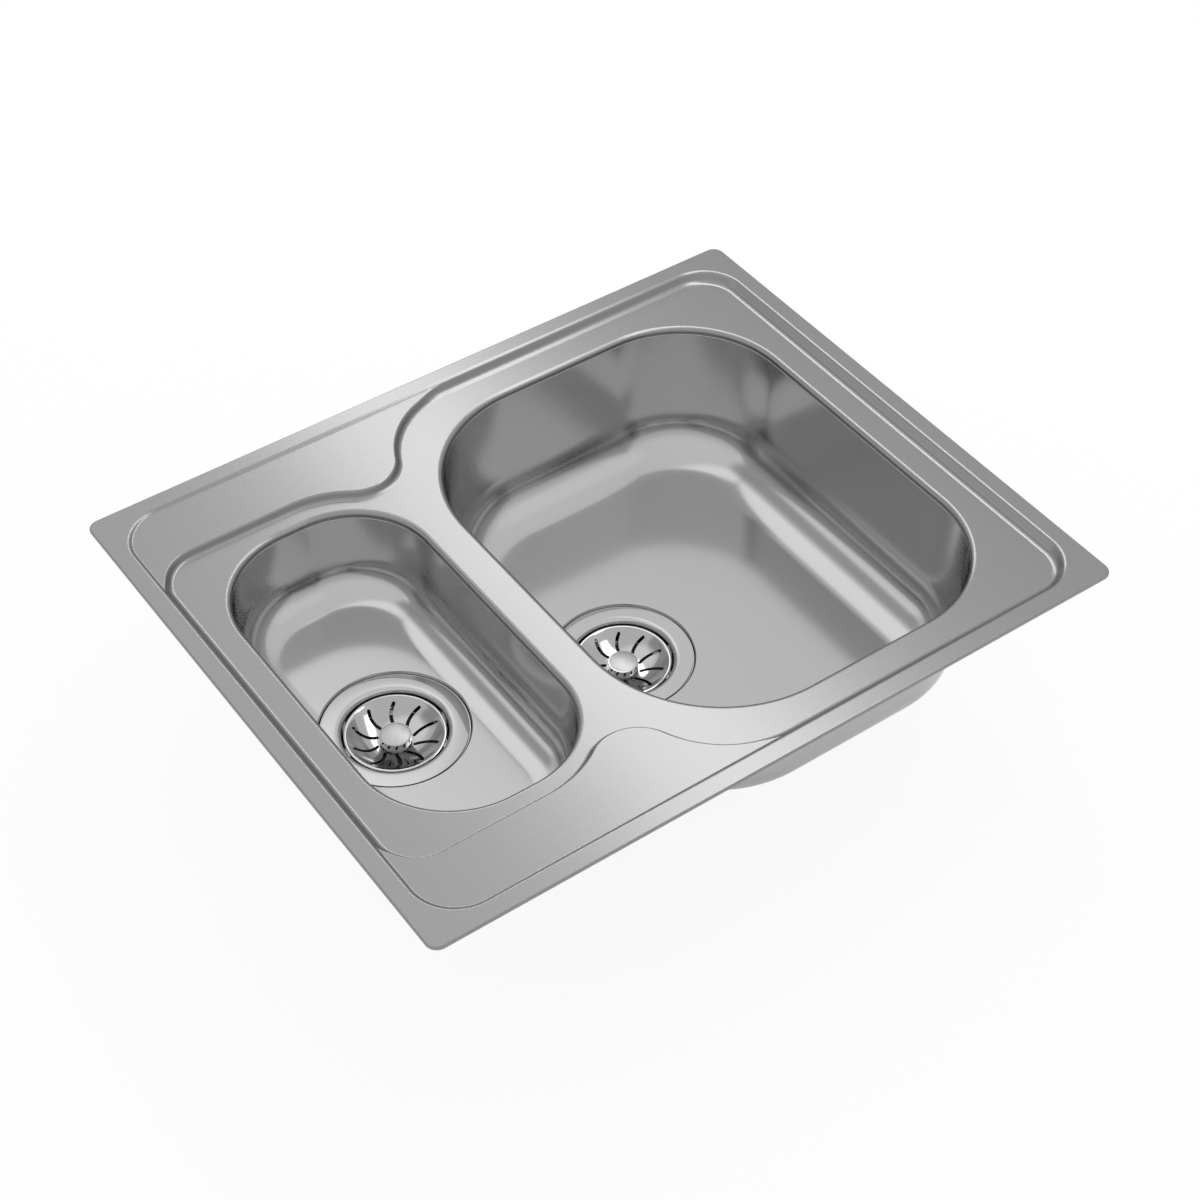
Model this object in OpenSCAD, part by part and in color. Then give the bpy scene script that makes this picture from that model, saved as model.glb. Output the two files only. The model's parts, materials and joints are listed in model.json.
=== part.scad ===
// One and a half bowl inset sink in pressed stainless steel, with basket wastes and worktop clips.
// Origin: centre of the rim on the worktop plane. +X towards the main bowl, +Y to the rear, +Z up.

/* [Rim] */
// Length of the rim, left to right
rim_x = 615; // [605:1:640]
// Width of the rim, front to rear
rim_y = 500; // [490:1:520]
// Radius of the rim's outer corners
rim_corner = 9.5; // [6:0.5:16]
// Height of the rim's top above the worktop
rim_h = 3; // [2.6:0.1:4]
// Width of the flat rim, up to where the step begins
rim_flat = 12.9; // [12:0.1:15]
// Rounding of the rim's outer edge
rim_edge_r = 1.4; // [1:0.1:2]
// Thickness of the steel sheet
sheet = 0.8; // [0.6:0.1:1]

/* [Deck] */
// Drop from the rim to the bowl deck
deck_drop = 8.2; // [7.8:0.1:9]
// Drop from the rim to the two side ledges
ledge_drop = 2; // [1.6:0.1:2.4]
// Plan radius of the step's corners, at its top
step_corner = 40; // [36:1:46]
// Radius at the top of a pressed step
brow_r = 4; // [3:0.1:4.4]
// Radius at the foot of a pressed step
foot_r = 6.5; // [5.5:0.1:7]
// Steepest slope of a pressed step, in degrees
step_slope = 45; // [40:1:50]
// Plan radius of the hollow where the deck narrows between the bowls
neck_r = 34; // [30:1:38]
// Flat deck between the half bowl's mouth and the foot of its step
half_land = 12.4; // [11:0.1:14]

/* [Main bowl] */
// Width of the main bowl's mouth, front to rear
main_y = 401; // [390:1:404]
// Plan radius of the main bowl's corners
main_corner = 90; // [80:1:96]
// Distance from the rim's right edge to the main bowl's mouth
main_inset = 47.2; // [44:0.1:52]
// Depth of the main bowl's floor below the rim
main_depth = 137; // [120:1:180]
// Radius between the main bowl's walls and floor
main_floor_r = 45; // [36:1:50]
// Distance of the main waste's centre from the mouth's left edge
main_waste_in = 89.7; // [84:0.1:110]

/* [Half bowl] */
// Distance from the rim's left edge to the half bowl's mouth
half_inset = 46.6; // [44:0.1:52]
// Length of the half bowl's mouth, left to right
half_x = 165; // [158:1:168]
// Width of the half bowl's mouth, front to rear
half_y = 321; // [310:1:324]
// Plan radius of the half bowl's corners
half_corner = 68; // [62:1:72]
// Land between the two mouths
bowl_gap = 34.2; // [32:0.1:40]
// Depth of the half bowl's floor below the rim
half_depth = 85.5; // [78:0.5:130]
// Radius between the half bowl's walls and floor
half_floor_r = 32; // [26:1:34]
// Distance of the half waste's centre from the mouth's left edge
half_waste_in = 74; // [70:0.1:84]

/* [Both bowls] */
// Radius of the roll from the deck into a bowl
roll_r = 4.6; // [3.6:0.1:5.2]
// Straight neck below the roll, down to the weld seam
neck_h = 1.4; // [1:0.1:2]
// Draft of the bowl walls, in degrees
draft = 3; // [2:0.1:4]
// Depth of the pressed seat round a waste
seat_drop = 3; // [2.4:0.1:3.6]

/* [Waste] */
// Outer radius of the strainer flange
flange_r = 57; // [55:0.5:58]
// Radius of the waste hole in a bowl
hole_r = 45; // [44:0.1:46]
// Inner radius of the strainer well
well_r = 41; // [40:0.1:42]
// Depth of the strainer well below the flange
well_h = 24; // [22:0.5:30]
// Thickness of the gasket under the flange
flange_seal = 0.7; // [0.5:0.1:1]
// Thickness of the gasket under the bowl
under_seal = 2.5; // [2:0.1:3]
// Wall of the moulded waste body
body_wall = 3; // [2.5:0.1:3.4]
// Outer radius of the outlet's thread
outlet_r = 23.9; // [22:0.1:25]
// Length of the outlet's threaded spigot
outlet_h = 18; // [14:1:26]
// Radius of the waste's centre screw
waste_screw_r = 3; // [2.5:0.1:3.5]

/* [Basket] */
// Radius of the basket's dish
dish_r = 39.5; // [38:0.1:39.6]
// Depth of the dish's lip below the flange
dish_lip = 4; // [3:0.1:5]
// Fall of the dish from its lip to its centre
dish_fall = 5; // [4:0.1:6]
// Number of slots in the dish
slots = 10; // [6:1:12]
// Width of a slot
slot_w = 2.2; // [1.6:0.1:2.6]
// Radius at which a slot starts
slot_in = 15; // [14.5:0.1:17]
// Radius at which a slot ends
slot_out = 33; // [30:0.5:35]
// Radius to which a slot is curved
slot_bend = 17; // [14:0.5:24]
// Radius of the knob
knob_r = 12.3; // [11:0.1:13]
// Height of the knob above the dish
knob_h = 8; // [6:0.1:9]

/* [Fixing] */
// Distance from the rim's edge to the cut-out in the worktop
cutout_in = 10; // [9.6:0.1:10.4]
// Distance from the deck step's foot to a clip's screw
clip_in = 9; // [8:0.1:10]
// Radius of a clip's screw
clip_screw_r = 3; // [2.5:0.1:3]
// Reach of a claw from its screw
claw_reach = 34; // [30:1:36]
// Depth below the worktop's top at which a claw's teeth wait
claw_top = 29; // [27:1:34]
// Distance of the front and rear clips from the middle of their bowl
clip_side = 2; // [0:1:10]
// Distance of the end clips from the sink's middle line
clip_end = 96; // [80:1:104]
// Radial clearance of a turning or sliding fit
run_fit = 0.05; // [0.02:0.01:0.09]

/* [Hidden] */
CLAWS = ["claw_right_front", "claw_right_rear", "claw_rear_right", "claw_rear_left",
         "claw_left_rear", "claw_left_front", "claw_front_left", "claw_front_right"];
$fn = 96;

// Angle of one facet in the pressed radii
facet = 9;
// Overrun that lets one cut pass clean through a face
over = 1;
// Overlap of a swept cut with the floor beside it, and the inset of that floor's outline
floor_lap = 3;
floor_inset = 1;

// Levels
deck_z = rim_h - deck_drop;
ledge_z = rim_h - ledge_drop;
seam_z = deck_z - roll_r - neck_h;
main_z = rim_h - main_depth;
half_z = rim_h - half_depth;

// Places in plan
main_right = rim_x / 2 - main_inset;
half_left = half_inset - rim_x / 2;
half_right = half_left + half_x;
main_left = half_right + bowl_gap;
// Length of the main bowl's mouth, which takes the room that the rest leaves
main_x = main_right - main_left;
main_mid = (main_left + main_right) / 2;
half_mid = (half_left + half_right) / 2;
main_waste = [main_left + main_waste_in, 0];
half_waste = [half_left + half_waste_in, 0];

// A pressed step: its angle and plan width for a drop
step_curve = foot_r + brow_r;
function step_angle(drop) = min(step_slope, acos(1 - drop / step_curve));
function step_width(drop) =
    let (a = step_angle(drop))
    step_curve * sin(a) + (drop - step_curve * (1 - cos(a))) / tan(a);

// Foot of the deck's outer step and of the ledges' step
foot_x = rim_x / 2 - rim_flat - step_width(deck_drop);
foot_y = rim_y / 2 - rim_flat - step_width(deck_drop);
foot_corner = step_corner - step_width(deck_drop);
ledge_x = rim_x / 2 - rim_flat - step_width(ledge_drop);
ledge_y = rim_y / 2 - rim_flat - step_width(ledge_drop);
ledge_corner = step_corner - step_width(ledge_drop);
fall_drop = deck_drop - ledge_drop;

// Centres and radii of the turns in the foot of the inner step, on the rear side
main_turn = [main_left + main_corner, main_y / 2 - main_corner];
main_turn_r = foot_y - main_turn.y;
half_turn = [half_right - half_corner, half_y / 2 - half_corner];
half_turn_r = half_corner + half_land;
half_foot_y = half_turn.y + half_turn_r;
left_turn = [-foot_x + foot_corner, half_foot_y - foot_corner];
right_turn = [foot_x - foot_corner, foot_y - foot_corner];

// The hollow turn touches the two turns beside it
function touching(c0, r0, c1, r1) =
    let (d = norm(c1 - c0), u = (c1 - c0) / d, a = (r0 * r0 - r1 * r1 + d * d) / (2 * d))
    c0 + a * u + sqrt(r0 * r0 - a * a) * [u.y, -u.x];
neck_turn = touching(main_turn, main_turn_r + neck_r, half_turn, half_turn_r + neck_r);
function heading(v) = atan2(v.y, v.x);
main_to_neck = heading(neck_turn - main_turn);
half_to_neck = heading(neck_turn - half_turn);

// Angle over which a turn still shares the rim's step before the ledge opens
function shared(turn_r, gap) = acos((turn_r + step_width(fall_drop) - gap) / (turn_r + step_width(fall_drop)));
ledge_gap = step_width(fall_drop) - (step_width(deck_drop) - step_width(ledge_drop));
main_shared = shared(main_turn_r, ledge_gap);
left_shared = shared(foot_corner, ledge_gap);

// Points of an arc, in steps of one facet unless told otherwise
function arc(c, r, from, to, step = facet) =
    let (n = max(1, ceil(abs(to - from) / step)))
    [for (i = [0 : n]) c + r * [cos(from + (to - from) * i / n), sin(from + (to - from) * i / n)]];

// The same step's surface from foot to brow, s below the top face of the sheet
function step_line(drop, top, s) =
    let (a = step_angle(drop), z = top - drop, w = step_width(drop))
    concat([[-floor_lap, z - s]],
           arc([0, z + foot_r], foot_r + s, -90, a - 90),
           arc([w, top - brow_r], brow_r - s, 90 + a, 90));

module step_cut(drop, top, s) {
    line = step_line(drop, top, s);
    high = rim_h + over;
    polygon(concat(line, [[line[len(line) - 1].x, high], [-floor_lap, high]]));
}

module rear_and_front() {
    children();
    mirror([0, 1, 0]) children();
}

// A straight stretch of a section: its middle, the way it faces and its length
module stretch(middle, facing, length) {
    translate([middle.x, middle.y, 0])
        rotate([0, 0, facing])
            rotate([90, 0, 0])
                linear_extrude(length, center = true) children();
}

// A section turned about a centre, drawn from radius r outwards
module turn(centre, r, from, to) {
    translate([centre.x, centre.y, 0])
        rotate_extrude(angle = to - from, start = from)
            translate([r, 0]) children();
}

// A round-cornered solid whose side follows an edge line of [distance out, height] points
module pan(middle, half_size, corner, edge) {
    last = edge[len(edge) - 1].y;
    first = edge[0].y;
    cx = half_size.x - corner;
    cy = half_size.y - corner;
    translate([middle.x, middle.y, 0]) {
        for (sx = [0, 1], sy = [0, 1])
            mirror([sx, 0, 0]) mirror([0, sy, 0])
                turn([cx, cy], 0, 0, 90)
                    polygon(concat([[0, first]], [for (p = edge) [corner + p.x, p.y]], [[0, last]]));
        stretch([0, 0], 0, 2 * cy) slab_section(half_size.x, edge);
        stretch([0, 0], 90, 2 * cx) slab_section(half_size.y, edge);
    }
}

module slab_section(half, edge) {
    n = len(edge) - 1;
    polygon(concat([for (p = edge) [half + p.x, p.y]],
                   [for (i = [n : -1 : 0]) [-half - edge[i].x, edge[i].y]]));
}

// The middles of an arc's facets, so that no point stands where two turns meet
function arc_middles(c, r, from, to) =
    let (n = max(1, ceil(abs(to - from) / facet)))
    [for (i = [0.5 : n]) c + r * [cos(from + (to - from) * i / n), sin(from + (to - from) * i / n)]];

// Outline of the bowl deck's floor, just inside the foot of its steps
function half_outline() =
    let (i = floor_inset)
    concat(arc_middles(right_turn, foot_corner - i, 0, 90),
           arc_middles(main_turn, main_turn_r - i, 90, main_to_neck),
           arc_middles(neck_turn, neck_r + i, main_to_neck - 180, half_to_neck - 180),
           arc_middles(half_turn, half_turn_r - i, half_to_neck, 90),
           arc_middles(left_turn, foot_corner - i, 90, 180));

module deck_floor_outline() {
    up = half_outline();
    n = len(up) - 1;
    polygon(concat(up, [for (i = [n : -1 : 0]) [up[i].x, -up[i].y]]));
}

// Everything that is pressed down out of the rim, s below the top face of the sheet
module pressings(s) {
    w_rim = step_width(deck_drop);
    pan([0, 0], [ledge_x, ledge_y], ledge_corner,
        concat(step_line(ledge_drop, rim_h, s), [[step_width(ledge_drop), rim_h + over]]));
    translate([0, 0, deck_z - s])
        linear_extrude(deck_drop + s + over) deck_floor_outline();
    stretch([foot_x, 0], 0, 2 * right_turn.y) step_cut(deck_drop, rim_h, s);
    stretch([-foot_x, 0], 180, 2 * left_turn.y) step_cut(deck_drop, rim_h, s);
    rear_and_front() {
        turn(right_turn, foot_corner, 0, 90) step_cut(deck_drop, rim_h, s);
        stretch([(right_turn.x + main_turn.x) / 2, foot_y], 90, right_turn.x - main_turn.x)
            step_cut(deck_drop, rim_h, s);
        turn(main_turn, main_turn_r, 90, 90 + main_shared) step_cut(deck_drop, rim_h, s);
        turn(main_turn, main_turn_r, 90 + main_shared, main_to_neck) step_cut(fall_drop, ledge_z, s);
        turn(neck_turn, neck_r, half_to_neck - 180, main_to_neck - 180)
            mirror([1, 0]) step_cut(fall_drop, ledge_z, s);
        turn(half_turn, half_turn_r, half_to_neck, 90) step_cut(fall_drop, ledge_z, s);
        stretch([(half_turn.x + left_turn.x) / 2, half_foot_y], 90, half_turn.x - left_turn.x)
            step_cut(fall_drop, ledge_z, s);
        turn(left_turn, foot_corner, 90, 180 - left_shared) step_cut(fall_drop, ledge_z, s);
        turn(left_turn, foot_corner, 180 - left_shared, 180) step_cut(deck_drop, rim_h, s);
    }
}

// A bowl's mouth, rolled down from the deck to the seam
module mouth(middle, size, corner, s) {
    edge = concat([[s, seam_z - 2 * over], [s, deck_z - roll_r]],
                  arc([roll_r, deck_z - roll_r], roll_r - s, 180, 90),
                  [[roll_r, rim_h + over]]);
    pan([middle, 0], size / 2, corner, edge);
}

module mouths(s) {
    mouth(main_mid, [main_x, main_y], main_corner, s);
    mouth(half_mid, [half_x, half_y], half_corner, s);
}

// Rim, ledges, bowl deck and the two rolled mouths, pressed from one sheet
module sink_deck() {
    color("silver")
        difference() {
            union() {
                pan([0, 0], [rim_x, rim_y] / 2, rim_corner,
                    concat([[0, 0]], arc([-rim_edge_r, rim_h - rim_edge_r], rim_edge_r, 0, 90)));
                translate([-ledge_x, -ledge_y, seam_z]) cube([2 * ledge_x, 2 * ledge_y, over - seam_z]);
            }
            pressings(0);
            mouths(0);
            difference() {
                pan([0, 0], [rim_x, rim_y] / 2, rim_corner, [[-sheet, seam_z - over], [-sheet, rim_h - sheet]]);
                pressings(sheet);
                mouths(sheet);
            }
        }
}

// Side line of a drawn bowl, s outside its inner face, up to the seam
function bowl_line(floor_z, r, s) =
    let (c = -(r + (seam_z - floor_z - r) * sin(draft)) / cos(draft))
    concat(arc([c, floor_z + r], r + s, -90, -draft), [[s / cos(draft), seam_z]]);

module drawn_bowl(middle, size, corner, floor_z, r, waste) {
    lip = [over * tan(draft), seam_z + over];
    seat_r = flange_r + 2 * over;
    rise = r / 3;
    color("gainsboro")
        difference() {
            union() {
                pan([middle, 0], size / 2, corner, bowl_line(floor_z, r, sheet));
                translate([waste.x, waste.y, floor_z - seat_drop - sheet])
                    cylinder(h = seat_drop + sheet + rise, r = seat_r + sheet);
            }
            pan([middle, 0], size / 2, corner, concat(bowl_line(floor_z, r, 0), [lip]));
            translate([waste.x, waste.y, floor_z - seat_drop])
                cylinder(h = seat_drop + rise, r = seat_r);
            translate([waste.x, waste.y, floor_z - seat_drop - sheet - over])
                cylinder(h = seat_drop + sheet + 2 * over, r = hole_r);
        }
}

module main_bowl() {
    drawn_bowl(main_mid, [main_x, main_y], main_corner, main_z, main_floor_r, main_waste);
}

module half_bowl() {
    drawn_bowl(half_mid, [half_x, half_y], half_corner, half_z, half_floor_r, half_waste);
}

// Foam strip stuck under the rim, between its turned-down edge and the cut-out
seal_gap = 0.8;
seal_back = 1.5;

module rim_seal() {
    strip_out = sheet + seal_gap;
    strip_in = cutout_in - seal_back;
    color("dimgray")
        difference() {
            pan([0, 0], [rim_x, rim_y] / 2, rim_corner, [[-strip_out, 0], [-strip_out, rim_h - sheet]]);
            pan([0, 0], [rim_x, rim_y] / 2, rim_corner, [[-strip_in, -over], [-strip_in, rim_h]]);
        }
}

// Bonded pad that deadens a bowl's floor
pad_t = 2.5;
pad_gap = 6;
pad_back = 24;

module sound_pad(low, high, z) {
    color([0.2, 0.2, 0.2])
        translate([low.x, low.y, z - sheet - pad_t]) cube([high.x - low.x, high.y - low.y, pad_t]);
}

// Half width of the flat floor of a bowl
function flat_half(size, floor_z, r) = size / 2 + bowl_line(floor_z, r, 0)[0].x;

module main_sound_pad() {
    flat = [flat_half(main_x, main_z, main_floor_r), flat_half(main_y, main_z, main_floor_r)];
    sound_pad([main_waste.x + flange_r + sheet + pad_gap, -flat.y + pad_back],
              [main_mid + flat.x - pad_gap, flat.y - pad_back], main_z);
}

module half_sound_pads() {
    flat = [flat_half(half_x, half_z, half_floor_r), flat_half(half_y, half_z, half_floor_r)];
    rear_and_front()
        sound_pad([half_mid - flat.x + pad_gap, flange_r + sheet + pad_gap],
                  [half_mid + flat.x - pad_gap, flat.y - pad_gap], half_z);
}

// Waste: every height below is measured down from the flange's top face
flange_t = 0.8;
seat_z = flange_t + flange_seal;
under_z = seat_z + sheet;
body_z = under_z + under_seal;
well_roll = 5;
well_foot = 2;
well_bottom = well_h + flange_t;
window_r = 6.5;
window_at = 25;
windows = 6;
boss_r = 6.5;
boss_h = 16;
rib_short = 5;
well_gap = 2;
body_r = well_r + flange_t + well_gap;
room_h = 12;
body_deep = well_bottom + room_h;
cone_h = 12;
thread_relief = 0.03;
screw_gap = 0.25;
flange_edge = 0.6;
ring_in = 1;
ring_out_r = flange_r - ring_in;
ring_in_r = hole_r + ring_in;

module on_waste(at, floor_z) {
    translate([at.x, at.y, floor_z - seat_drop + seat_z]) children();
}

// Pressed steel strainer: flange, rolled throat and well with a ring of windows
module strainer_flange() {
    top = concat([[flange_r, -flange_edge], [flange_r - flange_edge, 0]],
                 arc([well_r + well_roll, -well_roll], well_roll, 90, 180),
                 arc([well_r - well_foot, -well_h + well_foot], well_foot, 0, -90),
                 [[0, -well_h]]);
    back = concat([[0, -well_bottom]],
                  arc([well_r - well_foot, -well_h + well_foot], well_foot + flange_t, -90, 0),
                  arc([well_r + well_roll, -well_roll], well_roll - flange_t, 180, 90),
                  [[flange_r, -flange_t]]);
    color("silver")
        difference() {
            rotate_extrude() polygon(concat(top, back));
            translate([0, 0, -well_bottom - over])
                cylinder(h = flange_t + 2 * over, r = waste_screw_r + screw_gap);
            for (i = [0 : windows - 1])
                rotate([0, 0, i * 360 / windows])
                    translate([window_at, 0, -well_bottom - over])
                        cylinder(h = flange_t + 2 * over, r = window_r);
        }
}

module ring(out_r, in_r, low, high) {
    translate([0, 0, low])
        difference() {
            cylinder(h = high - low, r = out_r);
            translate([0, 0, -over]) cylinder(h = high - low + 2 * over, r = in_r);
        }
}

module flange_gasket() {
    color("dimgray") ring(ring_out_r, ring_in_r, -seat_z, -flange_t);
}

module under_gasket() {
    color([0.15, 0.15, 0.15]) ring(ring_out_r, ring_in_r, -body_z, -under_z);
}

// Moulded collector under the bowl, with a boss on three ribs and a threaded outlet
module waste_body() {
    out_r = body_r + body_wall;
    spigot_in = outlet_r - body_wall;
    low = body_deep + cone_h;
    cone_in = body_wall / 3;
    shell = [[body_r, -body_z], [ring_out_r, -body_z], [ring_out_r, -body_z - body_wall],
             [out_r, -body_z - body_wall], [out_r, -body_deep], [outlet_r, -low],
             [outlet_r, -low - outlet_h], [spigot_in, -low - outlet_h],
             [spigot_in, -low + cone_in], [body_r, -body_deep + cone_in]];
    color("whitesmoke")
        difference() {
            union() {
                rotate_extrude() polygon(shell);
                translate([0, 0, -well_bottom - boss_h]) cylinder(h = boss_h, r = boss_r);
                for (i = [0 : 2])
                    rotate([0, 0, 90 + i * 120])
                        translate([boss_r / 2, -body_wall / 2, -well_bottom - boss_h])
                            cube([body_r - boss_r / 2 + body_wall / 2, body_wall, boss_h - rib_short]);
            }
            translate([0, 0, -well_bottom - boss_h - over])
                cylinder(h = boss_h + 2 * over, r = waste_screw_r + thread_relief);
        }
}

// Centre screw: a hollow head that takes the basket's pin
pin_r = 2;
head_r = 5;
head_h = 3;
head_gap = 2;
screw_short = 2;
screw_down = boss_h + flange_t - screw_short;

module centre_screw() {
    color("lightsteelblue")
        difference() {
            union() {
                translate([0, 0, -well_h]) cylinder(h = head_h, r = head_r);
                translate([0, 0, -well_h - screw_down]) cylinder(h = screw_down + over, r = waste_screw_r);
            }
            translate([0, 0, -well_h - over]) cylinder(h = head_h + 2 * over, r = pin_r + run_fit);
        }
}

// Basket dish with curved slots
dish_t = 0.8;
dish_hole = 6;
dish_foot = -dish_lip - dish_fall;
lip_w = 2;
lip_h = 1.4;
lip_edge = 0.5;
dish_steps = 6;
// Step of the polygon round a slot's ends, in degrees
slot_end = 45;

module dish_slot() {
    chord = slot_out - slot_in;
    half = asin(chord / 2 / slot_bend);
    c = [(slot_in + slot_out) / 2, -slot_bend * cos(half)];
    side = slot_w / 2;
    near = c + slot_bend * [-sin(half), cos(half)];
    far = c + slot_bend * [sin(half), cos(half)];
    translate([0, 0, dish_foot - dish_t - over])
        linear_extrude(dish_fall + dish_t + 2 * over)
            polygon(concat(arc(c, slot_bend + side, 90 + half, 90 - half),
                           arc(far, side, 45 - half, -45 - half, slot_end),
                           arc(c, slot_bend - side, 90 - half, 90 + half),
                           arc(near, side, 225 + half, 135 + half, slot_end)));
}

module basket_dish() {
    skirt = dish_lip + lip_h;
    line = [[dish_r, -skirt], [dish_r, -dish_lip - lip_edge], [dish_r - lip_edge, -dish_lip],
            [dish_r - lip_w, -dish_lip]];
    bowl = [for (i = [1 : dish_steps - 1])
            let (k = 1 - i / dish_steps)
            [knob_r + (dish_r - lip_w - knob_r) * k, dish_foot + dish_fall * k * k]];
    flat = [[knob_r, dish_foot], [dish_hole, dish_foot]];
    top = concat(line, bowl, flat);
    n = len(top) - 1;
    back = [for (i = [n : -1 : 4]) [top[i].x, top[i].y - dish_t]];
    color("lightgray")
        difference() {
            rotate_extrude()
                polygon(concat(top, back, [[dish_r - lip_w, -dish_lip - dish_t],
                                           [dish_r - dish_t, -dish_lip - dish_t],
                                           [dish_r - dish_t, -skirt]]));
            for (i = [0 : slots - 1]) rotate([0, 0, i * 360 / slots]) dish_slot();
        }
}

// Moulded stem with its seal carrier and the pin that holds in the centre screw
window_cover = 2.5;
stopper_r = window_at + window_r + window_cover;
stopper_t = 3.2;
carrier_t = 2;
carrier_in = 2;
stem_wall = 2;
pin_short = 0.5;

module basket_stem() {
    carrier_z = -well_h + stopper_t;
    pin_down = head_h - pin_short;
    color("darkgray") {
        translate([0, 0, carrier_z]) cylinder(h = carrier_t, r = stopper_r - carrier_in);
        translate([0, 0, carrier_z]) cylinder(h = dish_foot - carrier_z - dish_t, r = dish_hole + stem_wall);
        translate([0, 0, carrier_z]) cylinder(h = dish_foot - carrier_z, r = dish_hole);
        translate([0, 0, -well_h + head_h - pin_down]) cylinder(h = pin_down + over, r = pin_r);
    }
}

module stopper() {
    color([0.12, 0.12, 0.12]) ring(stopper_r, head_r + head_gap, -well_h, -well_h + stopper_t);
}

// Lift knob: a bright turned body with a matt disc let into its top
cap_in = 1.1;
cap_t = 1;
cap_low = 0.1;
waist = 1;
knob_edge = 0.4;

module knob() {
    color("gainsboro")
        rotate_extrude()
            polygon([[0, dish_foot], [knob_r - waist, dish_foot], [knob_r - waist, dish_foot + waist],
                     [knob_r, dish_foot + 2 * waist], [knob_r, dish_foot + knob_h - knob_edge],
                     [knob_r - knob_edge, dish_foot + knob_h], [knob_r - cap_in, dish_foot + knob_h],
                     [knob_r - cap_in, dish_foot + knob_h - cap_t], [0, dish_foot + knob_h - cap_t]]);
}

module knob_cap() {
    color("lightgray")
        translate([0, 0, dish_foot + knob_h - cap_t]) cylinder(h = cap_t - cap_low, r = knob_r - cap_in);
}

// Clips: where each screw stands, the way its claw faces when tightened, and the sheet above it
under_deck = deck_z - sheet;
under_ledge = ledge_z - sheet;
clip_x = foot_x - clip_in;
clip_y = foot_y - clip_in;
CLIPS = [[[clip_x, -clip_end], 0, under_deck], [[clip_x, clip_end], 0, under_deck],
         [[main_mid + clip_side, clip_y], 90, under_deck], [[half_mid - clip_side, clip_y], 90, under_ledge],
         [[-clip_x, clip_end], 180, under_deck], [[-clip_x, -clip_end], 180, under_deck],
         [[half_mid - clip_side, -clip_y], 270, under_ledge], [[main_mid + clip_side, -clip_y], 270, under_deck]];
bracket_t = 1.5;
bracket_w = 24;
bracket_d = 13;
bracket_h = 16;
tab_z = under_deck - bracket_h;
claw_w = 11;
claw_t = 2.5;
claw_low = 12;
screw_end = claw_top + claw_low;
clip_head_h = 4;
clip_head_r = 5.5;
slot_deep = 1.2;
slot_wide = 1;
screw_up = 8;

module at_clip(i) {
    translate([CLIPS[i][0].x, CLIPS[i][0].y, 0]) rotate([0, 0, CLIPS[i][1]]) children();
}

// Open box bracket, welded to the underside, that takes the screw in its lower tab
module clip_bracket(top) {
    h = top - tab_z;
    difference() {
        translate([-bracket_d / 2, -bracket_w / 2, tab_z]) cube([bracket_d, bracket_w, h]);
        translate([-bracket_d / 2 - over, -bracket_w / 2 + bracket_t, tab_z + 2 * bracket_t])
            cube([bracket_d + 2 * over, bracket_w - 2 * bracket_t, h - 3 * bracket_t]);
        translate([0, 0, tab_z - over])
            cylinder(h = 2 * bracket_t + 2 * over, r = clip_screw_r + thread_relief);
    }
}

module clip_brackets() {
    color("darkgray")
        for (i = [0 : len(CLIPS) - 1]) at_clip(i) clip_bracket(CLIPS[i][2]);
}

module clip_screws() {
    color("lightsteelblue")
        for (i = [0 : len(CLIPS) - 1]) at_clip(i) {
            translate([0, 0, -screw_end]) cylinder(h = screw_end + tab_z + screw_up, r = clip_screw_r);
            difference() {
                translate([0, 0, -screw_end - clip_head_h]) cylinder(h = clip_head_h, r = clip_head_r, $fn = 6);
                translate([-slot_wide / 2, -2 * clip_head_r, -screw_end - clip_head_h - over])
                    cube([slot_wide, 4 * clip_head_r, slot_deep + over]);
            }
        }
}

// Pressed claw that turns on its screw, with teeth that bite under the worktop
claw_clear = 0.1;
collar_h = 8;
teeth = 3;
jaw = 6;
knee = 3;
inner_knee = 5;

module claw(i) {
    low = -screw_end + claw_clear;
    tooth = jaw / teeth;
    tip = claw_reach;
    tip_in = tip - jaw;
    outline = concat([[0, low], [tip - knee, low], [tip, low + knee], [tip, -claw_top - tooth]],
                     [for (k = [0 : teeth - 1]) each [[tip - (k + 0.5) * tooth, -claw_top],
                                                      [tip - (k + 1) * tooth, -claw_top - tooth]]],
                     [[tip_in, low + claw_t + inner_knee], [tip_in - inner_knee, low + claw_t],
                      [0, low + claw_t]]);
    color("silver")
        at_clip(i) rotate([0, 0, 90])
            difference() {
                union() {
                    rotate([90, 0, 0]) linear_extrude(claw_w, center = true) polygon(outline);
                    translate([0, 0, low]) cylinder(h = collar_h, r = claw_w / 2);
                }
                translate([0, 0, low - over]) cylinder(h = collar_h + 2 * over, r = clip_screw_r + run_fit);
            }
}

module claw_right_front() { claw(0); }
module claw_right_rear() { claw(1); }
module claw_rear_right() { claw(2); }
module claw_rear_left() { claw(3); }
module claw_left_rear() { claw(4); }
module claw_left_front() { claw(5); }
module claw_front_left() { claw(6); }
module claw_front_right() { claw(7); }

module main_flange() { on_waste(main_waste, main_z) strainer_flange(); }
module main_flange_gasket() { on_waste(main_waste, main_z) flange_gasket(); }
module main_under_gasket() { on_waste(main_waste, main_z) under_gasket(); }
module main_waste_body() { on_waste(main_waste, main_z) waste_body(); }
module main_centre_screw() { on_waste(main_waste, main_z) centre_screw(); }
module main_basket() { on_waste(main_waste, main_z) basket_dish(); }
module main_basket_stem() { on_waste(main_waste, main_z) basket_stem(); }
module main_stopper() { on_waste(main_waste, main_z) stopper(); }
module main_knob() { on_waste(main_waste, main_z) knob(); }
module main_knob_cap() { on_waste(main_waste, main_z) knob_cap(); }

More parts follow.
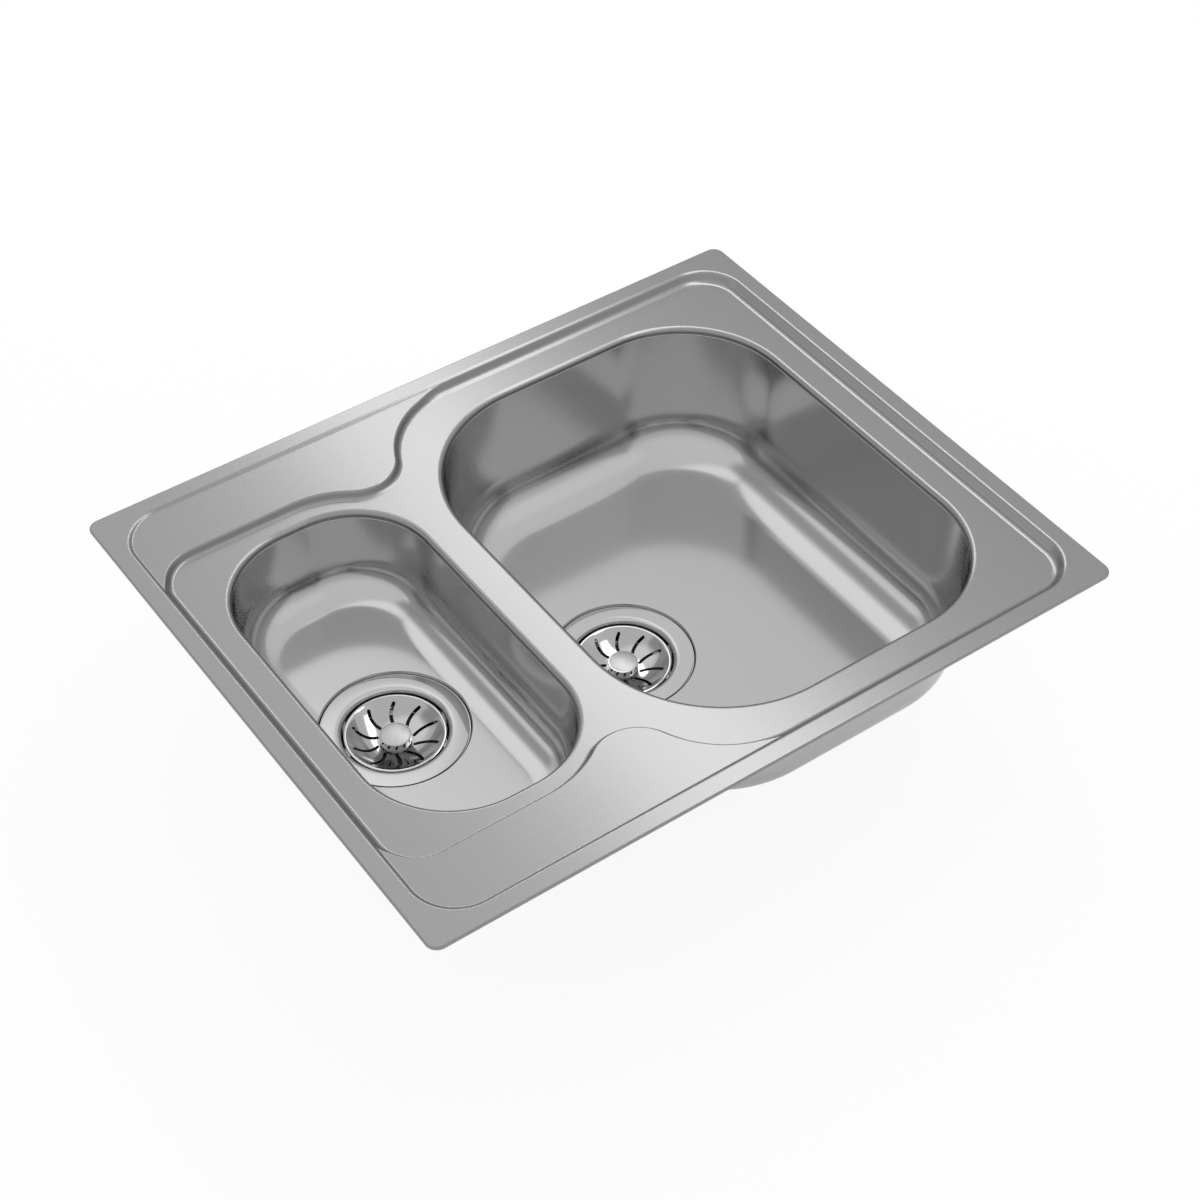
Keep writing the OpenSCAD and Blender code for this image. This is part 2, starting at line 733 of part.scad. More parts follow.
module half_flange() { on_waste(half_waste, half_z) strainer_flange(); }
module half_flange_gasket() { on_waste(half_waste, half_z) flange_gasket(); }
module half_under_gasket() { on_waste(half_waste, half_z) under_gasket(); }
module half_waste_body() { on_waste(half_waste, half_z) waste_body(); }
module half_centre_screw() { on_waste(half_waste, half_z) centre_screw(); }
module half_basket() { on_waste(half_waste, half_z) basket_dish(); }
module half_basket_stem() { on_waste(half_waste, half_z) basket_stem(); }
module half_stopper() { on_waste(half_waste, half_z) stopper(); }
module half_knob() { on_waste(half_waste, half_z) knob(); }
module half_knob_cap() { on_waste(half_waste, half_z) knob_cap(); }

sink_deck();
main_bowl();
half_bowl();
rim_seal();
main_sound_pad();
half_sound_pads();
clip_brackets();
clip_screws();
claw_right_front();
claw_right_rear();
claw_rear_right();
claw_rear_left();
claw_left_rear();
claw_left_front();
claw_front_left();
claw_front_right();
main_flange();
main_flange_gasket();
main_under_gasket();
main_waste_body();
main_centre_screw();
main_basket();
main_basket_stem();
main_stopper();
main_knob();
main_knob_cap();
half_flange();
half_flange_gasket();
half_under_gasket();
half_waste_body();
half_centre_screw();
half_basket();
half_basket_stem();
half_stopper();
half_knob();
half_knob_cap();
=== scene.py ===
"""Inset kitchen sink with a main bowl and a half bowl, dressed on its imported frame.

Sizes in the classes are millimetres, as in the part's source. Meshes are made in metres.
"""
import json
import logging
import math
from dataclasses import dataclass, replace
from enum import Enum
from typing import Any, Callable, Sequence

import bmesh
import bpy
import numpy as np
from bpy.types import ID, Material, Node, NodeSocket, NodeTree, Object, World
from mathutils import Matrix, Vector
from mathutils.geometry import delaunay_2d_cdt

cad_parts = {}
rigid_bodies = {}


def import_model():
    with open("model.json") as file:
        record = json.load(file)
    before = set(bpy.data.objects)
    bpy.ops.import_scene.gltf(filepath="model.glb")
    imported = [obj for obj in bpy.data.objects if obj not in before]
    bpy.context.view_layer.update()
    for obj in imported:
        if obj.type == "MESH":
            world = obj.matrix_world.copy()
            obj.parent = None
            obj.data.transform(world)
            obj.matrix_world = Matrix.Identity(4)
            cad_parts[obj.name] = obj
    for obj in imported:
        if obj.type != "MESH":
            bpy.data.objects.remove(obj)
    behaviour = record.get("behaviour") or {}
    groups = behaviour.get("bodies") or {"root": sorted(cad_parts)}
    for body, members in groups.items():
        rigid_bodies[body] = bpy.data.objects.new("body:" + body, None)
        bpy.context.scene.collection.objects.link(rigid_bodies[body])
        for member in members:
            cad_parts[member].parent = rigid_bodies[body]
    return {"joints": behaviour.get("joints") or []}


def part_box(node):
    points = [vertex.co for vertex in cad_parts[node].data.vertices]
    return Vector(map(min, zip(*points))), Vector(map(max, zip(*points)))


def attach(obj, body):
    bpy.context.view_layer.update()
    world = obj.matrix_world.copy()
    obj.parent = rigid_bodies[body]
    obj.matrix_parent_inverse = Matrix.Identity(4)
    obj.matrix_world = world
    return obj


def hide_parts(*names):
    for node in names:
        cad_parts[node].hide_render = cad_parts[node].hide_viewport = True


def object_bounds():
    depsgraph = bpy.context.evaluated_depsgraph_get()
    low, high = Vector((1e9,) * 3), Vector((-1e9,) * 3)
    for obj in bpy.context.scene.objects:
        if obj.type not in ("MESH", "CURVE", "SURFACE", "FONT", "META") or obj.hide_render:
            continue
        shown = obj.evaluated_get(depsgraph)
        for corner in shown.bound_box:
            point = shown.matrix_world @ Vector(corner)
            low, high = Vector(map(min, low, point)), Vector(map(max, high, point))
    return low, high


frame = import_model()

LOG = logging.getLogger("sink")
CAD_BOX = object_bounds()
MM = 0.001
Point = tuple[float, float]
RowPoint = tuple[float, float, float, float]


# ---------------------------------------------------------------- materials


def linear(code: str) -> tuple[float, float, float, float]:
    """Turns an sRGB hex colour into Blender's linear colour.

    Args:
        code: the colour as six hex digits, with or without a leading hash.

    Returns:
        Red, green, blue and an alpha of one.
    """
    parts = [int(code.lstrip("#")[i : i + 2], 16) / 255 for i in (0, 2, 4)]
    red, green, blue = (c / 12.92 if c <= 0.04045 else ((c + 0.055) / 1.055) ** 2.4 for c in parts)
    return red, green, blue, 1.0


def add_node(tree: NodeTree, kind: str, inputs: dict[Any, Any] | None = None, **settings: Any) -> Node:
    """Adds one node with its settings, values and links.

    Args:
        tree: the node tree that takes the node.
        kind: the node's type, less the words ShaderNode in front.
        inputs: for each input's name or number, a value or the socket it is linked from.
        settings: the node's own properties.

    Returns:
        The new node.
    """
    made = tree.nodes.new("ShaderNode" + kind)
    for key, value in settings.items():
        setattr(made, key, value)
    for key, value in (inputs or {}).items():
        if isinstance(value, NodeSocket):
            tree.links.new(value, made.inputs[key])
        else:
            made.inputs[key].default_value = value
    return made


def calculate(tree: NodeTree, operation: str, *values: Any) -> NodeSocket:
    """Gives the result of one operation on values or sockets."""
    return add_node(tree, "Math", dict(enumerate(values)), operation=operation).outputs["Value"]


def remap(tree: NodeTree, value: NodeSocket, source: Point, target: Point, kind: str = "LINEAR") -> NodeSocket:
    """Moves a value from one range to another, and keeps it in there.

    Args:
        tree: the node tree.
        value: the socket that carries the value.
        source: the range's ends in that value.
        target: what they become.
        kind: LINEAR, or SMOOTHSTEP to ease in and out.

    Returns:
        The socket that carries the result.
    """
    ends = {"From Min": source[0], "From Max": source[1], "To Min": target[0], "To Max": target[1]}
    return add_node(tree, "MapRange", {"Value": value, **ends}, interpolation_type=kind).outputs["Result"]


def empty_tree(owner: Material | World) -> NodeTree:
    """Gives a material or a world a node tree with nothing in it.

    Args:
        owner: the material or world.

    Returns:
        Its node tree.
    """
    owner.use_nodes = True
    owner.node_tree.nodes.clear()
    return owner.node_tree


class Grain(Enum):
    """The direction in which a finish was worked."""

    ALONG = "rolled or brushed along X"
    TURNED = "turned or polished round a vertical axis"
    NONE = "no direction"


@dataclass(frozen=True)
class Finish:
    """One real finish and the values that show it.

    Attributes:
        name: the material's name.
        light: sRGB colour of the surface where it is lightest.
        dark: sRGB colour of the surface where it is darkest.
        metallic: 1 for a metal and 0 for anything else.
        roughness: the middle of the roughness.
        spread: how far the roughness varies either way.
        grain: the direction of the working marks.
        pitch: distance between working marks or grains.
        length: length of a working mark.
        depth: depth of the marks.
        cloud: size of the slow variation of tone.
        centre: the axis of a turned finish, in plan.
        ior: index of refraction of anything but a metal.
    """

    name: str
    light: str
    dark: str
    metallic: float = 1.0
    roughness: float = 0.3
    spread: float = 0.04
    grain: Grain = Grain.NONE
    pitch: float = 1.0
    length: float = 30.0
    depth: float = 0.01
    cloud: float = 60.0
    centre: Point = (0.0, 0.0)
    ior: float = 1.5

    def marks(self, tree: NodeTree) -> NodeSocket:
        """Builds the pattern of working marks.

        Args:
            tree: the material's node tree.

        Returns:
            The socket that carries the pattern, from 0 to 1.
        """
        place = add_node(tree, "TexCoord").outputs["Object"]
        across = 1 / (self.pitch * MM)
        scale = (across, across, across)
        if self.grain is Grain.ALONG:
            scale = (1 / (self.length * MM), across, across)
        elif self.grain is Grain.TURNED:
            to_axis = (-self.centre[0] * MM, -self.centre[1] * MM, 0.0)
            moved = add_node(tree, "Mapping", {"Vector": place, "Location": to_axis})
            split = add_node(tree, "SeparateXYZ", {"Vector": moved.outputs["Vector"]}).outputs
            flat = add_node(tree, "CombineXYZ", {"X": split["X"], "Y": split["Y"]})
            radius = add_node(tree, "VectorMath", {0: flat.outputs["Vector"]}, operation="LENGTH")
            rings = add_node(tree, "CombineXYZ", {"X": radius.outputs["Value"], "Z": split["Z"]})
            place, scale = rings.outputs["Vector"], (across, 1.0, across)
        stretched = add_node(tree, "Mapping", {"Vector": place, "Scale": scale}).outputs["Vector"]
        noise = {"Vector": stretched, "Scale": 1.0, "Detail": 3.0, "Roughness": 0.6}
        return add_node(tree, "TexNoise", noise).outputs["Fac"]

    def build(self) -> Material:
        """Makes the material.

        Returns:
            The material, with its tone, roughness and relief from nodes.
        """
        material = bpy.data.materials.new(self.name)
        tree = empty_tree(material)
        marks = self.marks(tree)
        place = add_node(tree, "TexCoord").outputs["Object"]
        cloud = add_node(tree, "TexNoise", {"Vector": place, "Scale": 1 / (self.cloud * MM), "Detail": 2.0})
        share = remap(tree, calculate(tree, "ADD", cloud.outputs["Fac"], marks), (0.6, 1.4), (0.0, 1.0))
        tones = {"Factor": share, "A": linear(self.dark), "B": linear(self.light)}
        tone = add_node(tree, "Mix", tones, data_type="RGBA").outputs["Result"]
        rough = remap(tree, marks, (0.3, 0.7), (self.roughness - self.spread, self.roughness + self.spread))
        relief = add_node(tree, "Bump", {"Height": marks, "Strength": 1.0, "Distance": self.depth * MM})
        surface = {"Base Color": tone, "Roughness": rough, "Normal": relief.outputs["Normal"]}
        surface |= {"Metallic": self.metallic, "IOR": self.ior}
        shader = add_node(tree, "BsdfPrincipled", surface)
        add_node(tree, "OutputMaterial", {"Surface": shader.outputs["BSDF"]})
        return material


# Cold-rolled stainless sheet with a fine satin brush along its length: soft long reflections. Its grey is painted
# shade: darker than the bowls' sheet of the same steel, for the dimmer light that the deck shows.
SATIN_SHEET_PAINTED_SHADE = Finish(
    "stainless_satin_sheet", "#9A9A9A", "#979797", roughness=0.27, spread=0.006,
    grain=Grain.ALONG, pitch=0.7, length=40, depth=0.0001, cloud=180,
)
# The same sheet after deep drawing: closer to a mirror, with no clear direction. Its lighter tone is painted light:
# the same steel as the deck, painted lighter for the brighter light that the bowls show.
DRAWN_SHEET_PAINTED_LIGHT = Finish(
    "stainless_drawn_satin", "#C5C5C5", "#C3C3C3", roughness=0.15, spread=0.006,
    pitch=1.4, depth=0.00005, cloud=70,
)
# Pressed strainer flange, fine turned satin: nearly a mirror from a step away.
FLANGE_STEEL = Finish(
    "stainless_turned_flange", "#CBCBCB", "#C6C6C6", roughness=0.09, spread=0.01,
    grain=Grain.TURNED, pitch=0.5, depth=0.0001, cloud=40,
)
# Bright-polished basket: clear mirror images, broken only by faint polishing rings.
BASKET_STEEL = Finish(
    "stainless_bright_polished", "#BABABB", "#B3B3B4", roughness=0.10, spread=0.01,
    grain=Grain.TURNED, pitch=0.8, depth=0.0001, cloud=30,
)
# Chromed brass knob: the sharpest images on the sink.
KNOB_CHROME = Finish(
    "chromed_brass", "#B4B5B5", "#ACADAD", roughness=0.05, spread=0.01,
    grain=Grain.TURNED, pitch=0.6, depth=0.0002, cloud=20,
)
# Matt satin disc in the knob's top, finely blasted: an even grey with no image in it.
KNOB_MATT = Finish(
    "blasted_steel_disc", "#BCBDBE", "#B3B4B5", roughness=0.40, spread=0.03, pitch=0.25, depth=0.001, cloud=8,
)
# Zinc-plated and blue-passivated pressed steel: cool, blotchy and half matt.
ZINC_STEEL = Finish(
    "zinc_plated_steel", "#B4B9BD", "#9FA19E", roughness=0.34, spread=0.08, pitch=1.2, depth=0.006, cloud=9,
)
# Bright stainless machine screw: small hard glints on its turned faces.
SCREW_STEEL = Finish(
    "stainless_screw", "#BBBBBA", "#AFAFAE", roughness=0.2, spread=0.03,
    grain=Grain.TURNED, pitch=0.3, depth=0.001, cloud=12,
)
# Dark grey acetal stem, moulded with a faint spark texture: a soft broad sheen.
STEM_PLASTIC = Finish(
    "acetal_grey", "#4A4B4D", "#404143", metallic=0, roughness=0.42, spread=0.05,
    pitch=0.35, depth=0.01, cloud=20, ior=1.48,
)
# White polypropylene waste body, satin from the mould.
WASTE_PLASTIC = Finish(
    "polypropylene_white", "#E6E6E2", "#DBDBD6", metallic=0, roughness=0.40, spread=0.06,
    pitch=0.8, depth=0.012, cloud=35, ior=1.49,
)
# Nitrile rubber seals: black, with a dull sheen.
SEAL_RUBBER = Finish(
    "nitrile_rubber", "#26262A", "#1C1C1F", metallic=0, roughness=0.62, spread=0.08,
    pitch=0.5, depth=0.02, cloud=15, ior=1.52,
)
# Dark closed-cell foam strip, matt, with cells about half a millimetre across.
SEAL_FOAM = Finish(
    "closed_cell_foam", "#4C4C4E", "#333335", metallic=0, roughness=0.86, spread=0.06,
    pitch=0.55, depth=0.09, cloud=12, ior=1.45,
)
# Bitumen sound-deadening pad: dull black with a coarse skin.
PAD_RUBBER = Finish(
    "bitumen_pad", "#333335", "#242426", metallic=0, roughness=0.72, spread=0.1,
    pitch=1.6, depth=0.08, cloud=22, ior=1.55,
)


# ---------------------------------------------------------------- modelling bench


def clear_selection() -> None:
    """Leaves edit mode and deselects every object."""
    if bpy.context.object and bpy.context.object.mode != "OBJECT":
        bpy.ops.object.mode_set(mode="OBJECT")
    bpy.ops.object.select_all(action="DESELECT")


def only(obj: Object) -> Object:
    """Selects one object and makes it active.

    Args:
        obj: the object.

    Returns:
        The same object.
    """
    clear_selection()
    obj.select_set(True)
    bpy.context.view_layer.objects.active = obj
    return obj


def edit(obj: Object, mode: str = "VERT", everything: bool = False) -> None:
    """Enters edit mode on one object.

    Args:
        obj: the object to edit.
        mode: VERT, EDGE or FACE.
        everything: whether all of it is selected, or nothing.
    """
    only(obj)
    bpy.ops.object.mode_set(mode="EDIT")
    bpy.ops.mesh.select_mode(type=mode)
    bpy.ops.mesh.select_all(action="SELECT" if everything else "DESELECT")


def pick(obj: Object, kind: str, test: Callable[[Any], bool]) -> None:
    """Selects, in edit mode, the elements that pass a test.

    Args:
        obj: the object in edit mode.
        kind: verts, edges or faces.
        test: says whether an element is wanted.
    """
    mesh = bmesh.from_edit_mesh(obj.data)
    for element in getattr(mesh, kind):
        if test(element):
            element.select_set(True)
    mesh.select_flush_mode()
    bmesh.update_edit_mesh(obj.data)


def modify(obj: Object, kind: str, **settings: Any) -> Object:
    """Adds a modifier, sets it and applies it.

    Args:
        obj: the object to change.
        kind: the modifier's type.
        settings: the modifier's properties.

    Returns:
        The same object.
    """
    only(obj)
    modifier = obj.modifiers.new(kind.lower(), kind)
    for key, value in settings.items():
        setattr(modifier, key, value)
    bpy.ops.object.modifier_apply(modifier=modifier.name)
    return obj


def tidy(obj: Object, merge: float = 0.002) -> Object:
    """Merges doubles and turns every face outwards.

    Args:
        obj: the object to clean.
        merge: distance, in millimetres, within which vertices become one.

    Returns:
        The same object.
    """
    edit(obj, everything=True)
    bpy.ops.mesh.remove_doubles(threshold=merge * MM)
    bpy.ops.mesh.normals_make_consistent(inside=False)
    bpy.ops.object.mode_set(mode="OBJECT")
    return obj


def soften(obj: Object, width: float, segments: int = 2, angle: float = 35.0) -> Object:
    """Rounds every sharp edge.

    Args:
        obj: the object to round.
        width: width of the rounding.
        segments: faces across the rounding.
        angle: edges sharper than this, in degrees, are rounded.

    Returns:
        The same object.
    """
    limit = {"limit_method": "ANGLE", "angle_limit": math.radians(angle), "use_clamp_overlap": True}
    return modify(obj, "BEVEL", width=width * MM, segments=segments, **limit)


def shade(obj: Object, angle: float = 30.0) -> Object:
    """Shades smoothly, with the sharper edges kept.

    Args:
        obj: the object to shade.
        angle: edges sharper than this, in degrees, stay sharp.

    Returns:
        The same object.
    """
    only(obj)
    bpy.ops.object.shade_smooth_by_angle(angle=math.radians(angle))
    return obj


def bend(x: float, z: float, r: float, start: float, end: float, steps: int) -> list[Point]:
    """Gives the points of an arc in a profile.

    Args:
        x: the centre's radius from the axis.
        z: the centre's height.
        r: the arc's radius.
        start: its first angle, in degrees.
        end: its last angle, in degrees.
        steps: how many stretches it has.

    Returns:
        Its points.
    """
    angles = [math.radians(start + (end - start) * i / steps) for i in range(steps + 1)]
    return [(x + r * math.cos(a), z + r * math.sin(a)) for a in angles]


def chain(name: str, points: Sequence[Sequence[float]], closed: bool = True) -> Object:
    """Draws a line of edges by extruding one vertex from point to point.

    Args:
        name: the new object's name.
        points: the points, in millimetres.
        closed: whether the last point joins the first.

    Returns:
        The object, at the origin.
    """
    steps = [Vector(p) * MM for p in points]
    clear_selection()
    bpy.ops.mesh.primitive_plane_add(size=MM, location=(0, 0, 0))
    obj = bpy.context.object
    obj.name = name
    bpy.ops.object.mode_set(mode="EDIT")
    bpy.ops.mesh.select_mode(type="VERT")
    bpy.ops.mesh.merge(type="CENTER")
    bpy.ops.transform.translate(value=steps[0])
    for before, after in zip(steps, steps[1:]):
        bpy.ops.mesh.extrude_region_move(TRANSFORM_OT_translate={"value": after - before})
    if closed:
        pick(obj, "verts", lambda v: (v.co - steps[0]).length < 1e-8 or (v.co - steps[-1]).length < 1e-8)
        bpy.ops.mesh.edge_face_add()
    bpy.ops.object.mode_set(mode="OBJECT")
    return obj


def lathe(name: str, profile: Sequence[Point], steps: int = 96, closed: bool = True) -> Object:
    """Turns a profile round the Z axis.

    Args:
        name: the new object's name.
        profile: points of radius and height.
        steps: faces round the axis.
        closed: whether the profile is a closed loop, as on a ring.

    Returns:
        The turned object.
    """
    obj = chain(name, [(r, 0.0, z) for r, z in profile], closed)
    edit(obj, everything=True)
    bpy.ops.mesh.spin(steps=steps, angle=math.tau, center=(0, 0, 0), axis=(0, 0, 1))
    return tidy(obj)


def extrude(obj: Object, move: Sequence[float]) -> Object:
    """Fills a closed line of edges and extrudes it into a closed body.

    Args:
        obj: the line of edges.
        move: how far its face is moved, in millimetres.

    Returns:
        The same object.
    """
    edit(obj, everything=True)
    bpy.ops.mesh.edge_face_add()
    bpy.ops.mesh.extrude_region_move(TRANSFORM_OT_translate={"value": Vector(move) * MM})
    return tidy(obj, 0.0005)


def set_down(name: str) -> Object:
    """Names the object that was just added and moves its place into its mesh.

    Args:
        name: the object's name.

    Returns:
        The object, at the origin.
    """
    bpy.context.object.name = name
    bpy.ops.object.transform_apply(location=True, rotation=True, scale=True)
    return bpy.context.object


def block(name: str, low: Sequence[float], high: Sequence[float]) -> Object:
    """Adds a cube at its size and place, ready to be shaped.

    Args:
        name: the new object's name.
        low: lowest corner.
        high: highest corner.

    Returns:
        The cube, with its place in its mesh.
    """
    clear_selection()
    middle = (Vector(low) + Vector(high)) / 2 * MM
    bpy.ops.mesh.primitive_cube_add(size=1, location=middle, scale=(Vector(high) - Vector(low)) * MM)
    return set_down(name)


def rod(name: str, radius: float, low: float, high: float, at: Point = (0.0, 0.0), sides: int = 48) -> Object:
    """Adds a cylinder at its size and place, as a cutter or a start.

    Args:
        name: the new object's name.
        radius: its radius.
        low: height of its lower end.
        high: height of its upper end.
        at: its axis in plan.
        sides: its number of sides.

    Returns:
        The cylinder, with its place in its mesh.
    """
    clear_selection()
    middle = Vector((at[0], at[1], (low + high) / 2)) * MM
    size = {"radius": radius * MM, "depth": (high - low) * MM}
    bpy.ops.mesh.primitive_cylinder_add(vertices=sides, location=middle, **size)
    return set_down(name)


def join(first: Object, *others: Object) -> Object:
    """Joins objects into the first one.

    Args:
        first: the object that stays.
        others: the objects that go into it.

    Returns:
        The first object.
    """
    only(first)
    for other in others:
        other.select_set(True)
    bpy.ops.object.join()
    return first


def cut(obj: Object, *cutters: Object, operation: str = "DIFFERENCE") -> Object:
    """Cuts an object with others, or adds them to it, and removes them.

    Args:
        obj: the object to cut.
        cutters: closed objects, which may not overlap each other.
        operation: DIFFERENCE or UNION.

    Returns:
        The object that was cut.
    """
    tool = join(*cutters) if len(cutters) > 1 else cutters[0]
    modify(obj, "BOOLEAN", object=tool, operation=operation, solver="EXACT")
    bpy.data.objects.remove(tool)
    return obj


def add_object(name: str, data: ID) -> Object:
    """Makes an object and links it to the scene.

    Args:
        name: the object's name.
        data: its mesh, camera or lamp.

    Returns:
        The object, at the origin.
    """
    obj = bpy.data.objects.new(name, data)
    bpy.context.scene.collection.objects.link(obj)
    return obj


def bridge(mesh: bmesh.types.BMesh, here: list[Any], there: list[Any]) -> None:
    """Joins two closed rings of as many vertices with faces.

    Args:
        mesh: the mesh that holds them.
        here: the first ring.
        there: the second ring.
    """
    for i in range(len(here)):
        j = (i + 1) % len(here)
        mesh.faces.new((here[i], here[j], there[j], there[i]))


def release(mesh: bmesh.types.BMesh, name: str) -> Object:
    """Turns a mesh under construction into an object.

    Args:
        mesh: the mesh, which is freed.
        name: the object's name.

    Returns:
        The object, at the origin.
    """
    data = bpy.data.meshes.new(name)
    mesh.to_mesh(data)
    mesh.free()
    return add_object(name, data)


def copy_of(template: Object, name: str, move: Matrix) -> Object:
    """Copies a piece with its own mesh, and moves that mesh.

    Args:
        template: the piece to copy.
        name: the copy's name.
        move: the movement, in metres.

    Returns:
        The copy, with its object at the origin.
    """
    mesh = template.data.copy()
    mesh.transform(move)
    return add_object(name, mesh)


def around(template: Object, count: int, first: float = 0.0) -> list[Object]:
    """Copies a piece in equal turns round the Z axis, and removes the piece itself.

    Args:
        template: the piece, where it would stand at an angle of zero.
        count: how many copies there are.
        first: the first copy's angle, in turns.

    Returns:
        The copies.
    """
    angles = [math.tau * (first + i / count) for i in range(count)]
    copies = [copy_of(template, template.name, Matrix.Rotation(a, 4, "Z")) for a in angles]
    bpy.data.objects.remove(template)
    return copies


def thread(name: str, root: float, crest: float, pitch: float, low: float, high: float, sides: int) -> Object:
    """Winds a V-shaped ridge up a shank.

    Args:
        name: the new object's name.
        root: radius of the shank.
        crest: radius of the ridge's top.
        pitch: rise of one turn.
        low: height at which the ridge starts.
        high: height at which it ends.
        sides: faces in one turn.

    Returns:
        The closed ridge.
    """
    inner = root - 0.15
    half, flat = 0.44 * pitch, 0.06 * pitch
    ridge = [(inner, low), (crest, low + half - flat), (crest, low + half + flat), (inner, low + 2 * half)]
    obj = chain(name, [(r, 0, z) for r, z in ridge])
    turns = {"iterations": int((high - low - pitch) / pitch), "steps": sides, "render_steps": sides}
    modify(obj, "SCREW", angle=math.tau, screw_offset=pitch * MM, axis="Z", use_merge_vertices=True, **turns)
    edit(obj, "EDGE")
    pick(obj, "edges", lambda e: e.is_boundary or not e.link_faces)
    bpy.ops.mesh.edge_face_add()
    return tidy(obj, 0.0005)


# ---------------------------------------------------------------- outlines and pressed sheets


@dataclass(frozen=True)
class Arc:
    """One turn of an outline: its centre, radius, angles in degrees, and -1 for out where it is hollow."""

    x: float
    y: float
    r: float
    start: float
    end: float
    out: int = 1

    def at(self, angle: float, offset: float) -> RowPoint:
        """Gives a point of the arc and the way it faces.

        Args:
            angle: the point's angle, in degrees.
            offset: how far the arc is moved outwards.

        Returns:
            The point in plan and its outward direction.
        """
        a = math.radians(angle)
        r = self.r + self.out * offset
        return self.x + r * math.cos(a), self.y + r * math.sin(a), self.out * math.cos(a), self.out * math.sin(a)


@dataclass(frozen=True)
class Outline:
    """A closed outline of arcs joined by straight lines, drawn anticlockwise."""

    arcs: tuple[Arc, ...]

    def line(self, offset: float = 0.0, step: float = 3.0, gap: float = 9.0) -> list[RowPoint]:
        """Gives the points of the outline moved outwards.

        Args:
            offset: distance outwards.
            step: largest turn between two points of an arc, in degrees.
            gap: largest distance between two points of a straight.

        Returns:
            Points with the way that the outline faces there.
        """
        corners: list[RowPoint] = []
        for arc in self.arcs:
            n = max(2, math.ceil(abs(arc.end - arc.start) / step))
            corners += [arc.at(arc.start + (arc.end - arc.start) * i / n, offset) for i in range(n + 1)]
        points: list[RowPoint] = []
        for a, b in zip(corners, corners[1:] + corners[:1]):
            length = math.hypot(b[0] - a[0], b[1] - a[1])
            if length < 1e-6:
                continue
            n = max(1, math.ceil(length / gap))
            points += [(a[0] + (b[0] - a[0]) * i / n, a[1] + (b[1] - a[1]) * i / n, a[2], a[3]) for i in range(n)]
        return points

    def distance(self, points: np.ndarray) -> np.ndarray:
        """Measures how far outside the outline each point is.

        Args:
            points: an array of x and y.

        Returns:
            Distances, negative inside.
        """
        slack = 0.001
        best = np.full(len(points), 1e9)
        for arc, after in zip(self.arcs, self.arcs[1:] + self.arcs[:1]):
            dx, dy = points[:, 0] - arc.x, points[:, 1] - arc.y
            low, high = min(arc.start, arc.end), max(arc.start, arc.end)
            turn = (np.degrees(np.arctan2(dy, dx)) - low + slack) % 360
            away = arc.out * (np.hypot(dx, dy) - arc.r)
            best = np.where((turn <= high - low + 2 * slack) & (abs(away) < abs(best)), away, best)
            x0, y0, _, _ = arc.at(arc.end, 0)
            x1, y1, _, _ = after.at(after.start, 0)
            length = math.hypot(x1 - x0, y1 - y0)
            if length > 1e-6:
                ux, uy = (x1 - x0) / length, (y1 - y0) / length
                along = (points[:, 0] - x0) * ux + (points[:, 1] - y0) * uy
                away = (points[:, 0] - x0) * uy - (points[:, 1] - y0) * ux
                beside = (along >= -slack) & (along <= length + slack)
                best = np.where(beside & (abs(away) < abs(best)), away, best)
        return best


def round_corners(half_x: float, half_y: float, corner: float, middle: Point = (0.0, 0.0)) -> Outline:
    """Makes a rectangle with round corners.

    Args:
        half_x: half its length.
        half_y: half its width.
        corner: radius of its corners.
        middle: its middle in plan.

    Returns:
        The outline.
    """
    x, y = half_x - corner, half_y - corner
    quarters = ((1, 1, 0), (-1, 1, 90), (-1, -1, 180), (1, -1, 270))
    return Outline(tuple(Arc(middle[0] + sx * x, middle[1] + sy * y, corner, a, a + 90) for sx, sy, a in quarters))


def smooth_least(a: np.ndarray, b: np.ndarray, width: np.ndarray | float) -> np.ndarray:
    """Takes the lower of two heights, with the crease between them rounded.

    Args:
        a: the one height at each point.
        b: the other.
        width: the difference in height within which they blend.

    Returns:
        The blended heights.
    """
    k = np.maximum(width, 1e-6)
    overlap = np.maximum(k - abs(a - b), 0) / k
    return np.minimum(a, b) - overlap * overlap * k / 4


def rolled(r: float, top: float, out: int) -> list[RowPoint]:
    """Gives the rows of a skirt where a sheet's edge rolls down through a quarter turn.

    Args:
        r: the roll's radius.
        top: height of the sheet's face.
        out: 1 where the sheet lies inside the outline, and -1 where it lies outside.

    Returns:
        For each row its offset, its height, and the outward and upward parts of its normal.
    """
    turns = [math.radians(a) for a in np.linspace(0, 90, 11)]
    return [(out * r * (math.sin(a) - 1), top - r * (1 - math.cos(a)), out * math.sin(a), math.cos(a)) for a in turns]


